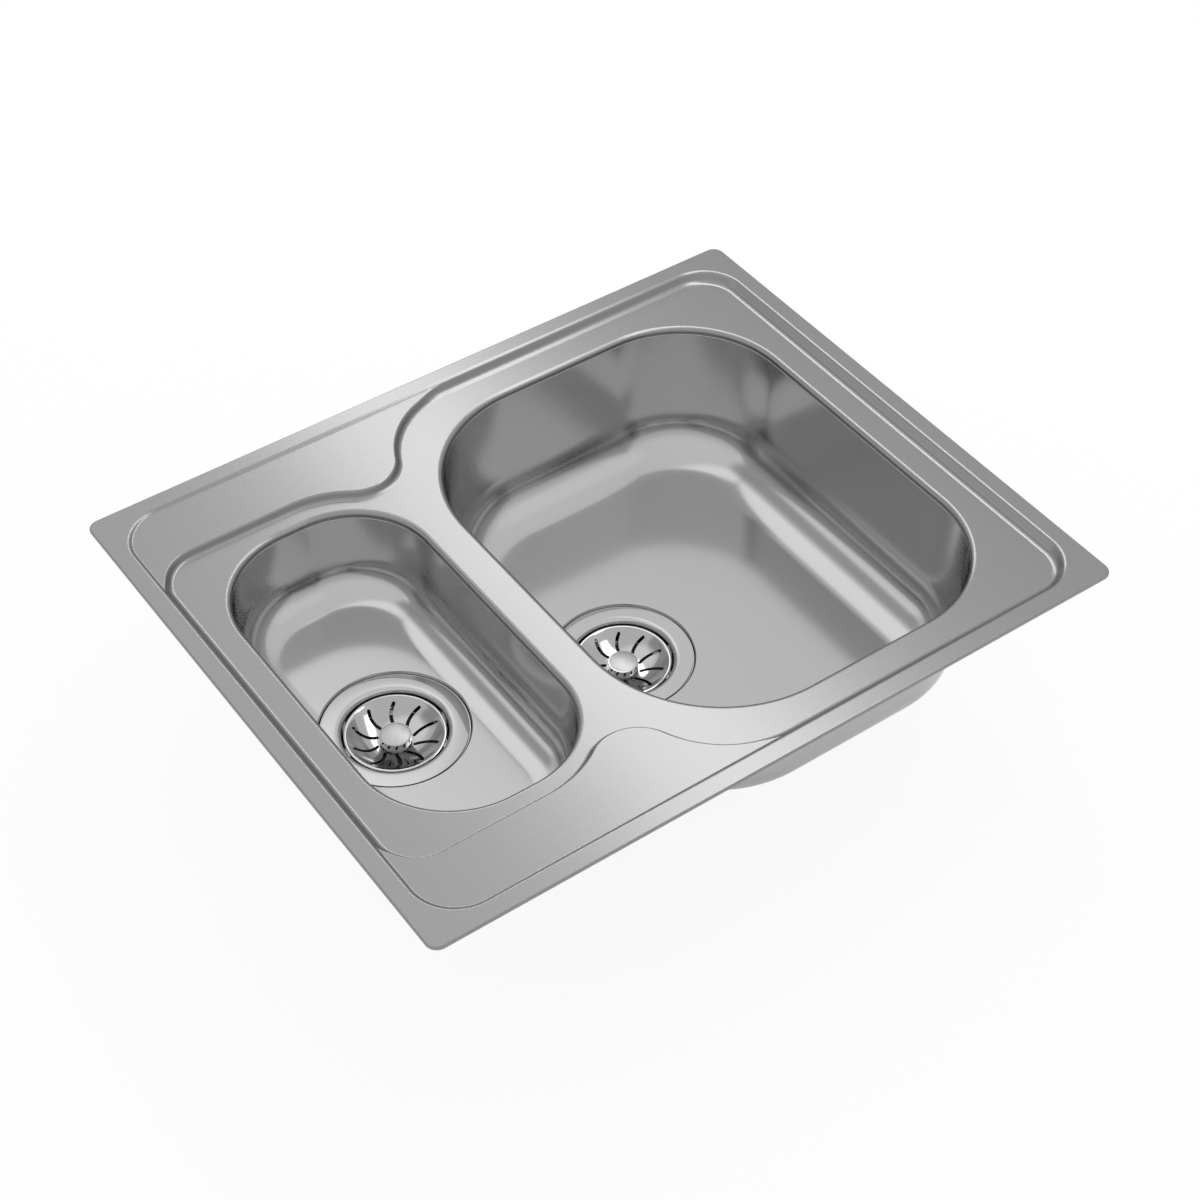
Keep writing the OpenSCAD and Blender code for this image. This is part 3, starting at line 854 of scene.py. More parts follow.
@dataclass(frozen=True)
class Step:
    """A pressed step: its drop, the height of its top, and its radii and slope."""

    drop: float
    top: float
    foot_r: float = 6.5
    brow_r: float = 4.0
    slope: float = 56.0

    @property
    def angle(self) -> float:
        """Gives the step's steepest slope, in radians."""
        return min(math.radians(self.slope), math.acos(max(-1.0, 1 - self.drop / (self.foot_r + self.brow_r))))

    @property
    def width(self) -> float:
        """Gives the step's width in plan."""
        both = self.foot_r + self.brow_r
        return both * math.sin(self.angle) + (self.drop - both * (1 - math.cos(self.angle))) / math.tan(self.angle)

    def height(self, d: np.ndarray, raised: np.ndarray | float = 0.0) -> np.ndarray:
        """Gives the step's height at a distance outwards from its foot.

        Args:
            d: distances from the foot.
            raised: how much further up the slope runs than the step's own top.

        Returns:
            Heights.
        """
        a = self.angle
        low = self.top - self.drop
        slope_at = self.foot_r * math.sin(a)
        foot = low + self.foot_r - np.sqrt(np.maximum(self.foot_r**2 - np.clip(d, 0, slope_at) ** 2, 0))
        line = low + self.foot_r * (1 - math.cos(a)) + (d - slope_at) * math.tan(a)
        far = self.width + raised / math.tan(a)
        back = np.clip(far - d, 0, self.brow_r * math.sin(a))
        brow = self.top + raised - self.brow_r + np.sqrt(self.brow_r**2 - back**2)
        return np.where(d < slope_at, foot, np.where(d < far - self.brow_r * math.sin(a), line, brow))


class PressedSheet:
    """One sheet pressed to a height over its plan, with skirts where it turns down.

    The blends of a pressing, where a ledge runs out into a step or a round seat cuts into a bowl's
    floor radius, have no operator, so the sheet is laid out from lines and heights in mesh code.
    """

    def __init__(self, name: str, height: Callable[[np.ndarray], np.ndarray]) -> None:
        """Starts a sheet.

        Args:
            name: the piece's name.
            height: gives the height at each point of an array of x and y.
        """
        self.name = name
        self.height = height
        self.points: list[Point] = []
        self.edges: list[tuple[int, int]] = []
        self.skirts: list[tuple[list[list[RowPoint]], list[tuple[float, float, float]]]] = []

    def add_line(self, row: Sequence[Sequence[float]], closed: bool = True, keep: np.ndarray | None = None) -> None:
        """Adds a line that the sheet's faces follow.

        Args:
            row: its points.
            closed: whether its end joins its start.
            keep: which points are drawn, where not all are.
        """
        start = len(self.points)
        self.points += [(p[0], p[1]) for p in row]
        n = len(row)
        for i in range(n if closed else n - 1):
            if keep is None or (keep[i] and keep[(i + 1) % n]):
                self.edges.append((start + i, start + (i + 1) % n))

    def add_skirt(self, outline: Outline, rows: Sequence[RowPoint]) -> None:
        """Adds a strip that follows an outline, from the sheet's edge downwards.

        Args:
            outline: the outline it follows.
            rows: for each row its offset, its height, and the outward and upward parts of its normal.
        """
        lines = [outline.line(offset) for offset, _, _, _ in rows]
        self.skirts.append((lines, [(z, out, up) for _, z, out, up in rows]))

    def normal(self, points: np.ndarray) -> np.ndarray:
        """Gives the sheet's normals from the slope of its height.

        Args:
            points: an array of x and y.

        Returns:
            The unit normals.
        """
        e = 0.02
        dx = (self.height(points + [e, 0]) - self.height(points - [e, 0])) / (2 * e)
        dy = (self.height(points + [0, e]) - self.height(points - [0, e])) / (2 * e)
        n = np.stack([-dx, -dy, np.ones(len(points))], 1)
        return n / np.linalg.norm(n, axis=1)[:, None]

    def build(self, inside: Callable[[np.ndarray], np.ndarray], thickness: float) -> Object:
        """Makes the sheet's mesh, gives it its thickness and sets its normals.

        Args:
            inside: says which points of an array lie on the sheet.
            thickness: the sheet's thickness, which goes down from its face.

        Returns:
            The finished piece.
        """
        coords, _, faces, _, _, _ = delaunay_2d_cdt([Vector(p) for p in self.points], self.edges, [], 0, 1e-5)
        plan = np.array([tuple(c) for c in coords])
        middles = plan[np.array(faces)].mean(1)
        kept = [f for f, ok in zip(faces, inside(middles)) if ok]
        heights, normals = self.height(plan), self.normal(plan)
        mesh = bmesh.new()
        layer = mesh.verts.layers.float_vector.new("facing")
        used = sorted({i for f in kept for i in f})
        made = {}
        for i in used:
            made[i] = mesh.verts.new((plan[i][0] * MM, plan[i][1] * MM, heights[i] * MM))
            made[i][layer] = normals[i]
        for f in kept:
            mesh.faces.new([made[i] for i in f])
        for rows, places in self.skirts:
            before = None
            for row, (z, out, up) in zip(rows, places):
                ring = [mesh.verts.new((x * MM, y * MM, z * MM)) for x, y, _, _ in row]
                for vert, (_, _, nx, ny) in zip(ring, row):
                    vert[layer] = Vector((nx * out, ny * out, up)).normalized()
                if before:
                    bridge(mesh, before, ring)
                before = ring
        bmesh.ops.remove_doubles(mesh, verts=mesh.verts[:], dist=0.002 * MM)
        mesh.normal_update()
        for face in mesh.faces:
            if face.normal.dot(sum((Vector(v[layer]) for v in face.verts), Vector())) < 0:
                face.normal_flip()
        obj = release(mesh, self.name)
        even = {"use_even_offset": True, "use_quality_normals": True}
        modify(obj, "SOLIDIFY", thickness=thickness * MM, offset=-1.0, **even)
        self.set_normals(obj)
        return obj

    @staticmethod
    def set_normals(obj: Object) -> None:
        """Gives each corner the pressing's own normal, except on the sheet's cut edges.

        Args:
            obj: the piece with its thickness.
        """
        data = obj.data
        data.shade_smooth()
        facing = [Vector(v.vector) for v in data.attributes["facing"].data]
        corners: list[Vector] = []
        for face in data.polygons:
            own = face.normal
            means = sum((facing[i] for i in face.vertices), Vector()).normalized()
            for i in face.vertices:
                n = facing[i]
                side = n.dot(own)
                corners.append(own if abs(means.dot(own)) < 0.6 or abs(side) < 0.2 else (n if side > 0 else -n))
        data.normals_split_custom_set(corners)
        data.attributes.remove(data.attributes["facing"])


# ---------------------------------------------------------------- the object's sizes


@dataclass(frozen=True)
class SinkSizes:
    """The sink's own sizes.

    They are the solids' sizes, but for the mouths' left and right corners, the steps' slopes and radii
    and the curve between the bowls, which are as the finished sink shows them.

    Attributes:
        rim_x, rim_y, rim_corner: the rim's length, width and corner radius.
        rim_h, rim_flat, rim_edge_r: its height over the worktop, its flat's width and its edge's radius.
        sheet: the sheet's thickness.
        deck_drop, ledge_drop: how far the bowl deck and the ledges lie below the rim.
        step_corner: the steps' corner radius at their brow.
        shoulder_x, shoulder_r, neck_r: the curve between the bowls, on the main bowl's side and in its hollow.
        waist_x, waist_y, waist_r: the same curve on the half bowl's side.
        main_x, main_y, half_x, half_y: the mouths' lengths and widths.
        main_corner, main_left_corner, half_corner, half_left_corner: their corner radii, right and left.
        main_right_gap: how much further in the main mouth's right edge lies than its solid's.
        main_inset, bowl_gap: the widths from the rim's right edge to the main mouth, and between the mouths.
        main_depth, half_depth, main_floor_r, half_floor_r: the bowls' depths and their floors' radii.
        roll_r, neck_h, draft: the mouths' roll, the straight below it and the walls' lean in degrees.
        seat_drop, flange_r, hole_r: depth of the waste's seat, and radii of its flange and its hole.
        seam_edge: height over which the sheets' edges round off at the weld seam.
    """

    rim_x: float = 615.0
    rim_y: float = 500.0
    rim_corner: float = 9.5
    rim_h: float = 3.0
    rim_flat: float = 13.4
    rim_edge_r: float = 1.4
    sheet: float = 0.8
    deck_drop: float = 8.2
    ledge_drop: float = 2.0
    step_corner: float = 40.0
    neck_r: float = 40.0
    shoulder_x: float = 10.0
    shoulder_r: float = 79.5
    waist_x: float = -166.2
    waist_y: float = 95.7
    waist_r: float = 79.5
    main_x: float = 322.0
    main_y: float = 401.0
    main_corner: float = 94.0
    main_left_corner: float = 114.0
    main_right_gap: float = 1.2
    main_inset: float = 47.2
    main_depth: float = 137.0
    main_floor_r: float = 45.0
    half_x: float = 165.0
    half_y: float = 321.0
    half_corner: float = 68.0
    half_left_corner: float = 76.0
    bowl_gap: float = 34.2
    half_depth: float = 85.5
    half_floor_r: float = 32.0
    roll_r: float = 4.6
    neck_h: float = 1.4
    draft: float = 3.0
    seat_drop: float = 3.0
    flange_r: float = 57.0
    hole_r: float = 45.0
    seam_edge: float = 0.55

    @property
    def rim_step(self) -> Step:
        """Gives the step from the rim to the bowl deck."""
        return Step(self.deck_drop, self.rim_h)

    @property
    def ledge_step(self) -> Step:
        """Gives the step from the rim to the ledges, with a crisp foot."""
        return Step(self.ledge_drop, self.rim_h, foot_r=2.5)

    @property
    def fall_step(self) -> Step:
        """Gives the tighter step from a ledge to the bowl deck."""
        return Step(self.deck_drop - self.ledge_drop, self.rim_h - self.ledge_drop, foot_r=3.5, brow_r=2.5, slope=62.0)

    @property
    def deck_z(self) -> float:
        """Gives the height of the bowl deck."""
        return self.rim_h - self.deck_drop

    @property
    def seam_z(self) -> float:
        """Gives the height of the weld seams."""
        return self.deck_z - self.roll_r - self.neck_h

    @property
    def main_mid(self) -> float:
        """Gives the middle of the main bowl, from left to right."""
        return self.rim_x / 2 - self.main_inset - self.main_x / 2

    @property
    def half_mid(self) -> float:
        """Gives the middle of the half bowl, from left to right."""
        return self.main_mid - self.main_x / 2 - self.bowl_gap - self.half_x / 2

    def rim(self) -> Outline:
        """Gives the rim's outline."""
        return round_corners(self.rim_x / 2, self.rim_y / 2, self.rim_corner)

    def mouth(self, main: bool) -> Outline:
        """Gives the outline of one bowl's mouth.

        Args:
            main: whether it is the main bowl's.

        Returns:
            The outline, with its own radii left and right.
        """
        if main:
            middle, x, y, gap = self.main_mid, self.main_x / 2, self.main_y / 2, self.main_right_gap
            right, left = self.main_corner, self.main_left_corner
        else:
            middle, x, y, gap = self.half_mid, self.half_x / 2, self.half_y / 2, 0.0
            right, left = self.half_corner, self.half_left_corner
        x_right, x_left = middle + x - gap - right, middle - x + left
        return Outline((
            Arc(x_right, y - right, right, 0, 90), Arc(x_left, y - left, left, 90, 180),
            Arc(x_left, left - y, left, 180, 270), Arc(x_right, right - y, right, 270, 360),
        ))

    def ledge_foot(self) -> Outline:
        """Gives the foot of the step round the ledges."""
        inset = self.rim_flat + self.ledge_step.width
        return round_corners(self.rim_x / 2 - inset, self.rim_y / 2 - inset, self.step_corner - self.ledge_step.width)

    def deck_foot(self) -> Outline:
        """Gives the foot of the step round the bowl deck, with the hollow turn between the bowls.

        Returns:
            The outline, front and rear alike.
        """
        inset = self.rim_flat + self.rim_step.width
        foot_x, foot_y = self.rim_x / 2 - inset, self.rim_y / 2 - inset
        corner = self.step_corner - self.rim_step.width
        main_r, half_r = self.shoulder_r, self.waist_r
        main = Vector((self.shoulder_x, foot_y - main_r))
        half = Vector((self.waist_x, self.waist_y))
        near, far = main_r + self.neck_r, half_r + self.neck_r
        between = half - main
        d = between.length
        u = between / d
        a = (near * near - far * far + d * d) / (2 * d)
        neck = main + a * u + math.sqrt(near * near - a * a) * Vector((u.y, -u.x))
        to_neck = math.degrees(math.atan2(neck.y - main.y, neck.x - main.x))
        from_neck = math.degrees(math.atan2(neck.y - half.y, neck.x - half.x))
        rear = (
            Arc(foot_x - corner, foot_y - corner, corner, 0, 90),
            Arc(main.x, main.y, main_r, 90, to_neck),
            Arc(neck.x, neck.y, self.neck_r, to_neck - 180, from_neck - 180, -1),
            Arc(half.x, half.y, half_r, from_neck, 90),
            Arc(corner - foot_x, half.y + half_r - corner, corner, 90, 180),
        )
        front = tuple(Arc(a.x, -a.y, a.r, -a.end, -a.start, a.out) for a in reversed(rear))
        return Outline(rear + front)


SINK = SinkSizes()


def settle(obj: Object, finish: Material, slot: str, body: str, *nodes: str) -> Object:
    """Dresses a piece and makes it ride on its body.

    Args:
        obj: the finished mesh object.
        finish: its material.
        slot: the record's material slot; not used.
        body: the body it rides on.
        nodes: the CAD nodes that it stands for.

    Returns:
        The same object.
    """
    obj.data.materials.clear()
    obj.data.materials.append(finish)
    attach(obj, body)
    if nodes:
        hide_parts(*nodes)
    LOG.info("%s rides on %s: %d faces", obj.name, body, len(obj.data.polygons))
    return obj


# ---------------------------------------------------------------- sub-assemblies


@dataclass
class Deck:
    """The pressed top sheet: rim, ledges, bowl deck and the two rolled mouths.

    Attributes:
        sizes: the sink's sizes.
        round_width: height over which the brows blend with the sheet above them.
        guard: how far beside a step or roll the nearest line runs.
        pitch: distance between the lines on a step.
        merge: distance over which the ledge's step fades into the bowl deck's.
        clear: how near the ledge's lines come to the bowl deck's step.
    """

    sizes: SinkSizes
    round_width: float = 2.0
    guard: float = 0.8
    pitch: float = 0.5
    merge: float = 4.0
    clear: float = 0.4

    @property
    def apart(self) -> float:
        """Gives how far the two steps' feet are apart where their brows run together."""
        return self.sizes.rim_step.width - self.sizes.ledge_step.width

    def height(self, points: np.ndarray) -> np.ndarray:
        """Gives the height of the sheet's face over the plan.

        Args:
            points: an array of x and y.

        Returns:
            Heights. The ledge's edge fades out where its two steps run together.
        """
        s = self.sizes
        to_deck, to_ledge = s.deck_foot().distance(points), s.ledge_foot().distance(points)
        t = np.clip((to_deck - to_ledge - self.apart) / self.merge, 0, 1)
        share = t * t * (3 - 2 * t)
        whole = s.rim_step.height(to_deck, 2 * self.round_width * share)
        inner = s.fall_step.height(to_deck, 2 * self.round_width)
        fall = whole * (1 - share) + inner * share
        return smooth_least(s.ledge_step.height(to_ledge), fall, self.round_width * share)

    def offsets(self, reach: float) -> list[float]:
        """Gives the distances from a step's foot at which lines run along it."""
        return [-self.guard, 0.0, *np.arange(self.pitch, reach, self.pitch), reach, reach + self.guard]

    def build(self) -> Object:
        """Makes the deck.

        Returns:
            The deck's piece.
        """
        s = self.sizes
        sheet = PressedSheet("deck", self.height)
        rim, foot, ledge = s.rim(), s.deck_foot(), s.ledge_foot()
        mouths = [s.mouth(True), s.mouth(False)]
        sheet.add_line(rim.line(-s.rim_edge_r))
        for offset in self.offsets(s.rim_step.width):
            sheet.add_line(foot.line(offset))
        for offset in self.offsets(s.ledge_step.width):
            row = ledge.line(offset)
            plan = np.array([p[:2] for p in row])
            sheet.add_line(row, keep=foot.distance(plan) - offset - self.apart > self.clear)
        lip = [(0.0, s.seam_z + s.seam_edge, -1.0, 0.0), (0.07, s.seam_z + 0.3, -0.9, -0.4)]
        lip += [(0.3, s.seam_z, -0.6, -0.8)]
        for mouth in mouths:
            sheet.add_line(mouth.line(s.roll_r))
            sheet.add_line(mouth.line(s.roll_r + self.guard))
            sheet.add_skirt(mouth, rolled(s.roll_r, s.deck_z, -1) + lip)
        turned = [(0.0, 0.25, 1.0, 0.0), (-0.12, 0.0, 1.0, -0.4)]
        sheet.add_skirt(rim, rolled(s.rim_edge_r, s.rim_h, 1) + turned)

        def inside(points: np.ndarray) -> np.ndarray:
            """Says which points lie on the sheet's face."""
            outside_bowls = (mouths[0].distance(points) > s.roll_r) & (mouths[1].distance(points) > s.roll_r)
            return (rim.distance(points) < -s.rim_edge_r) & outside_bowls

        return sheet.build(inside, s.sheet)


@dataclass
class Bowl:
    """One drawn bowl, welded under the deck, with the round seat for its waste.

    Attributes:
        sizes: the sink's sizes.
        name: the piece's name.
        main: whether it is the main bowl.
        waste: the waste's axis in plan.
        steep: slope at which the rows of the wall take over from the floor, in degrees.
        seat_gap, seat_edge_r, seat_slope: the seat's play round the flange, its edges' radius and its slope.
        seat_rise: how far up the seat's slope may cut into the bowl.
        seat_blend: height over which its edge blends with the bowl.
        ring_steps, gap: points in a ring round the waste, and the longest stretch of the mouth's lines.
        bead: the weld bead's distance from the sheet, half its width and half its height.
    """

    sizes: SinkSizes
    name: str
    main: bool
    waste: Point
    steep: float = 66.0
    seat_gap: float = 0.7
    seat_edge_r: float = 0.5
    seat_slope: float = 66.0
    seat_rise: float = 40.0
    seat_blend: float = 1.1
    ring_steps: int = 180
    gap: float = 14.0
    bead: tuple[float, float, float] = (0.05, 0.35, 0.7)

    @property
    def floor_z(self) -> float:
        """Gives the height of the floor."""
        return self.sizes.rim_h - (self.sizes.main_depth if self.main else self.sizes.half_depth)

    @property
    def floor_r(self) -> float:
        """Gives the radius between the walls and the floor."""
        return self.sizes.main_floor_r if self.main else self.sizes.half_floor_r

    @property
    def flat_in(self) -> float:
        """Gives the distance from the mouth in to the flat floor.

        Returns:
            The distance, for a wall that leans in and meets the floor's radius without a crease.
        """
        s = self.sizes
        a = math.radians(s.draft)
        return (self.floor_r + (s.seam_z - self.floor_z - self.floor_r) * math.sin(a)) / math.cos(a)

    @property
    def seat_r(self) -> float:
        """Gives the radius of the waste's seat at its foot."""
        return self.sizes.flange_r + self.seat_gap

    def from_waste(self, points: np.ndarray) -> np.ndarray:
        """Gives the distances of points from the waste's axis."""
        return np.hypot(points[:, 0] - self.waste[0], points[:, 1] - self.waste[1])

    def at(self, angle: float) -> RowPoint:
        """Gives a place on the radius between floor and wall.

        Args:
            angle: the slope there, in degrees.

        Returns:
            Its offset from the mouth, its height, and the outward and upward parts of its normal.
        """
        a = math.radians(angle)
        r = self.floor_r
        return r * math.sin(a) - self.flat_in, self.floor_z + r * (1 - math.cos(a)), -math.sin(a), math.cos(a)

    def height(self, points: np.ndarray) -> np.ndarray:
        """Gives the height of the floor, its radius and the waste's seat.

        Args:
            points: an array of x and y.

        Returns:
            Heights.
        """
        s = self.sizes
        out = np.clip(self.flat_in + s.mouth(self.main).distance(points), 0, self.floor_r * 0.999)
        pan = self.floor_z + self.floor_r - np.sqrt(self.floor_r**2 - out**2)
        wall = Step(s.seat_drop, self.floor_z, self.seat_edge_r, self.seat_edge_r, self.seat_slope)
        return smooth_least(pan, wall.height(self.from_waste(points) - self.seat_r, self.seat_rise), self.seat_blend)

    def wall_rows(self) -> list[RowPoint]:
        """Gives the rows of the wall, from the steep part of the floor's radius up to the seam.

        Returns:
            For each row its offset, its height, and the outward and upward parts of its normal.
        """
        s = self.sizes
        rows = [self.at(a) for a in np.linspace(self.steep, 90 - s.draft, 8)]
        side = math.radians(s.draft)
        low, high = rows[-1][1], s.seam_z - s.seam_edge
        for share in (0.25, 0.5, 0.75, 1.0):
            z = low * (1 - share) + high * share
            rows.append(((z - s.seam_z) * math.tan(side), z, -math.cos(side), math.sin(side)))
        return rows + [(0.05, s.seam_z - 0.3, -0.9, 0.4), (0.3, s.seam_z, -0.6, 0.8)]

    def build(self) -> Object:
        """Makes the bowl.

        Returns:
            The bowl's piece.
        """
        s, seat = self.sizes, self.seat_r
        mouth = s.mouth(self.main)
        sheet = PressedSheet(self.name, self.height)
        sheet.add_line(mouth.line(-self.flat_in - 1.0, gap=self.gap))
        for angle in np.linspace(0, self.steep, 20):
            sheet.add_line(mouth.line(self.at(angle)[0], gap=self.gap))
        for r in (s.hole_r, seat - 4, seat - 0.6, *np.arange(seat, seat + 5.3, 0.25), seat + 6.5):
            turns = [math.tau * i / self.ring_steps for i in range(self.ring_steps)]
            sheet.add_line([(self.waste[0] + r * math.cos(a), self.waste[1] + r * math.sin(a)) for a in turns])
        sheet.add_skirt(mouth, self.wall_rows())
        edge = self.at(self.steep)[0]

        def inside(points: np.ndarray) -> np.ndarray:
            """Says which points lie on the floor and the lower part of its radius."""
            return (mouth.distance(points) < edge) & (self.from_waste(points) > s.hole_r)

        return sheet.build(inside, s.sheet)

    def weld(self) -> Object:
        """Makes the weld bead round the outside of the seam.

        Returns:
            The bead's piece.
        """
        s = self.sizes
        mouth = s.mouth(self.main)
        gap, half_w, half_h = self.bead
        mesh = bmesh.new()
        rings = []
        for i in range(8):
            a = math.tau * i / 8
            z = s.seam_z + half_h * math.sin(a)
            line = mouth.line(s.sheet + gap + half_w * math.cos(a))
            rings.append([mesh.verts.new((x * MM, y * MM, z * MM)) for x, y, _, _ in line])
        for here, there in zip(rings, rings[1:] + rings[:1]):
            bridge(mesh, here, there)
        return shade(tidy(release(mesh, self.name + "_weld")), 60)


@dataclass
class Waste:
    """A basket strainer waste, modelled once about its own axis and copied to both bowls.

    Heights are measured from the top face of the flange.

    Attributes:
        sizes: the sink's sizes.
        metal, wall: thickness of the pressed steel and of the moulded body.
        throat_r, flange_tilt: radius of the flange's throat, and the fall of its face in degrees.
        well_r, well_h, well_foot_r, bore_r: the well's radius, depth and lower radius, and its screw's hole.
        windows, window_r, window_at: the holes in the well's floor, their radius and place.
        flange_seal, under_seal: thickness of the gaskets above and below the bowl's floor.
        cone_h, outlet_r, outlet_h, outlet_pitch, thread_h: the body's cone and its threaded outlet.
        boss_h, boss_r, webs, grips: the boss inside the body, its webs, and the grip ribs outside.
        dish_r, dish_lip, dish_fall: the dish's radius, its lip's depth and its fall towards the middle.
        slots, slot_w, slot_in, slot_out, slot_bend: the slots, their width, ends and radius.
        slot_turn: the first slot's angle, as a share of the angle between two.
        knob_r, knob_h, stem_ribs, stopper_r, screw_r: the knob, the stem's ribs, the stopper and the screw.
    """

    sizes: SinkSizes
    metal: float = 0.8
    throat_r: float = 5.0
    flange_tilt: float = 1.2
    well_r: float = 41.0
    well_h: float = 24.0
    well_foot_r: float = 2.0
    bore_r: float = 3.25
    windows: int = 6
    window_r: float = 6.5
    window_at: float = 25.0
    flange_seal: float = 0.7
    under_seal: float = 2.5
    wall: float = 3.0
    cone_h: float = 12.0
    outlet_r: float = 23.9
    outlet_h: float = 18.0
    outlet_pitch: float = 2.31
    thread_h: float = 1.3
    boss_h: float = 16.0
    boss_r: float = 6.5
    webs: int = 3
    grips: int = 12
    dish_r: float = 39.5
    dish_lip: float = 4.0
    dish_fall: float = 10.0
    slots: int = 10
    slot_w: float = 2.8
    slot_in: float = 15.0
    slot_out: float = 33.0
    slot_bend: float = 17.0
    slot_turn: float = 0.68
    knob_r: float = 12.3
    knob_h: float = 8.0
    stem_ribs: int = 6
    stopper_r: float = 34.0
    screw_r: float = 3.0

    @property
    def flange_fall(self) -> float:
        """Gives how far the flange's face falls from its throat to its edge."""
        return (self.sizes.flange_r - self.well_r - self.throat_r) * math.tan(math.radians(self.flange_tilt))

    @property
    def foot(self) -> float:
        """Gives the height of the dish's middle."""
        return -self.dish_lip - self.dish_fall

    @property
    def body_top(self) -> float:
        """Gives the height of the waste body's top."""
        return -(self.metal + self.flange_seal + self.sizes.sheet + self.under_seal)

    def flange(self) -> Object:
        """Presses the flange, its rolled throat and the well with its windows.

        Returns:
            The flange.
        """
        r, w, t, roll, foot = self.sizes.flange_r, self.well_r, self.metal, self.throat_r, self.well_foot_r
        hem, deep = 0.3, -self.well_h
        line = bend(r - hem, -self.flange_fall - 0.35, hem, 0, 88, 4)
        line += bend(w + roll, -roll, roll, 90 - self.flange_tilt, 180, 16)
        line += [(w, -roll - 0.8), (w, deep + foot + 0.8)] + bend(w - foot, deep + foot, foot, 0, -90, 8)
        line += [(w - foot - 0.6, deep), (self.bore_r, deep), (self.bore_r, deep - t), (w - foot - 0.6, deep - t)]
        line += bend(w - foot, deep + foot, foot + t, -90, 0, 8)
        line += [(w + t, deep + foot + 0.8), (w + t, -roll - 0.8)]
        line += bend(w + roll, -roll, roll - t, 180, 90, 12) + [(w + roll + 0.6, -t), (r - 0.1, -t)]
        holes = []
        for i in range(self.windows):
            a = math.tau * i / self.windows
            at = (self.window_at * math.cos(a), self.window_at * math.sin(a))
            holes.append(rod("window", self.window_r, deep - t - 1, deep + 1, at, 40))
        return shade(cut(lathe("flange", line, 144), *holes), 30)

    def dish_line(self) -> list[Point]:
        """Gives the dish's upper face from its lip to its middle.

        Returns:
            Points of radius and height.
        """
        r, top, lip = self.dish_r, -self.dish_lip, 2.0
        run = r - lip - self.knob_r
        line = [(r, top - 0.5), (r - 0.15, top - 0.15), (r - 0.5, top), (r - lip + 0.4, top), (r - lip, top - 0.12)]
        for i in range(1, 15):
            k = 1 - i / 14
            line.append((self.knob_r + run * k, self.foot + (self.dish_fall - 0.1) * k * k))
        return line + [(self.knob_r - 0.5, self.foot), (6.0, self.foot)]

    def slot_outline(self) -> list[Point]:
        """Gives the outline of the slot that starts on the X axis.

        Returns:
            Its points: the outer side, a round end, the inner side and the other end.
        """
        half = math.degrees(math.asin((self.slot_out - self.slot_in) / 2 / self.slot_bend))
        cx, cy = (self.slot_in + self.slot_out) / 2, -self.slot_bend * math.cos(math.radians(half))
        side, line = self.slot_w / 2, []
        for way in (1, -1):
            end = 90 - way * half
            line += bend(cx, cy, self.slot_bend + way * side, 90 + way * half, end, 10)
            x, y = bend(cx, cy, self.slot_bend, end, end, 1)[0]
            first = end if way > 0 else end + 180
            line += bend(x, y, side, first, first - 180, 6)[1:-1]
        return line

    def basket(self) -> Object:
        """Presses the basket's dish and pierces its curved slots.

        Returns:
            The dish.
        """
        top, lip, t = self.dish_line(), -self.dish_lip, self.metal
        back = [(r, z - t) for r, z in reversed(top) if r < self.dish_r - 1.2]
        rim = [(self.dish_r - t, lip - t), (self.dish_r - t, lip - 1.4), (self.dish_r, lip - 1.4)]
        dish = lathe("basket", top + back + rim, 144)
        low, high = self.foot - 2.5, lip + 1
        cutter = extrude(chain("slot", [(x, y, low) for x, y in self.slot_outline()]), (0, 0, high - low))
        return shade(cut(dish, *around(cutter, self.slots, self.slot_turn / self.slots)), 30)

    def knob(self) -> Object:
        """Turns the lift knob, hollowed in its top for the matt disc.

        Returns:
            The knob.
        """
        r, z, top = self.knob_r, self.foot, self.foot + self.knob_h
        line = [(0, z), (r - 1, z), (r - 1, z + 0.8), (r - 0.7, z + 1.3), (r - 0.25, z + 1.7), (r, z + 2.3)]
        line += [(r, top - 0.9)]
        line += [(r - 0.18 + 0.18 * math.cos(a), top - 0.55 + 0.55 * math.sin(a)) for a in (0, 0.5, 1.0, math.pi / 2)]
        line += [(r - 1.0, top), (r - 1.1, top - 0.1), (r - 1.1, top - 0.95), (0, top - 0.95)]
        return shade(lathe("knob", line, closed=False), 40)

    def cap(self) -> Object:
        """Turns the matt disc in the knob's top.

        Returns:
            The disc.
        """
        r, top = self.knob_r - 1.15, self.foot + self.knob_h
        line = [(0, top - 0.95), (r, top - 0.95), (r, top - 0.3), (r - 0.06, top - 0.18), (r - 0.2, top - 0.12)]
        return shade(lathe("cap", line + [(0, top - 0.1)], closed=False), 40)

    def stem(self) -> Object:
        """Moulds the stem with its seal carrier and pin.

        Returns:
            The stem.
        """
        end, low, back = 0.5 - self.well_h, 3.2 - self.well_h, self.foot - self.metal
        line = [(0, end), (1.4, end), (2, end + 0.6), (2, low), (30, low), (31.6, low + 0.3), (32, low + 0.8)]
        line += [(32, low + 1.5), (31.5, low + 2), (12, low + 2), (9.4, low + 2.6), (8.2, low + 4), (8, low + 6)]
        line += [(8, back), (6, back), (6, self.foot), (0, self.foot)]
        body = lathe("stem", line, closed=False)
        rib = soften(block("rib", (7, -0.7, low + 1.5), (22, 0.7, low + 3.4)), 0.3)
        return shade(join(body, *around(rib, self.stem_ribs)), 35)

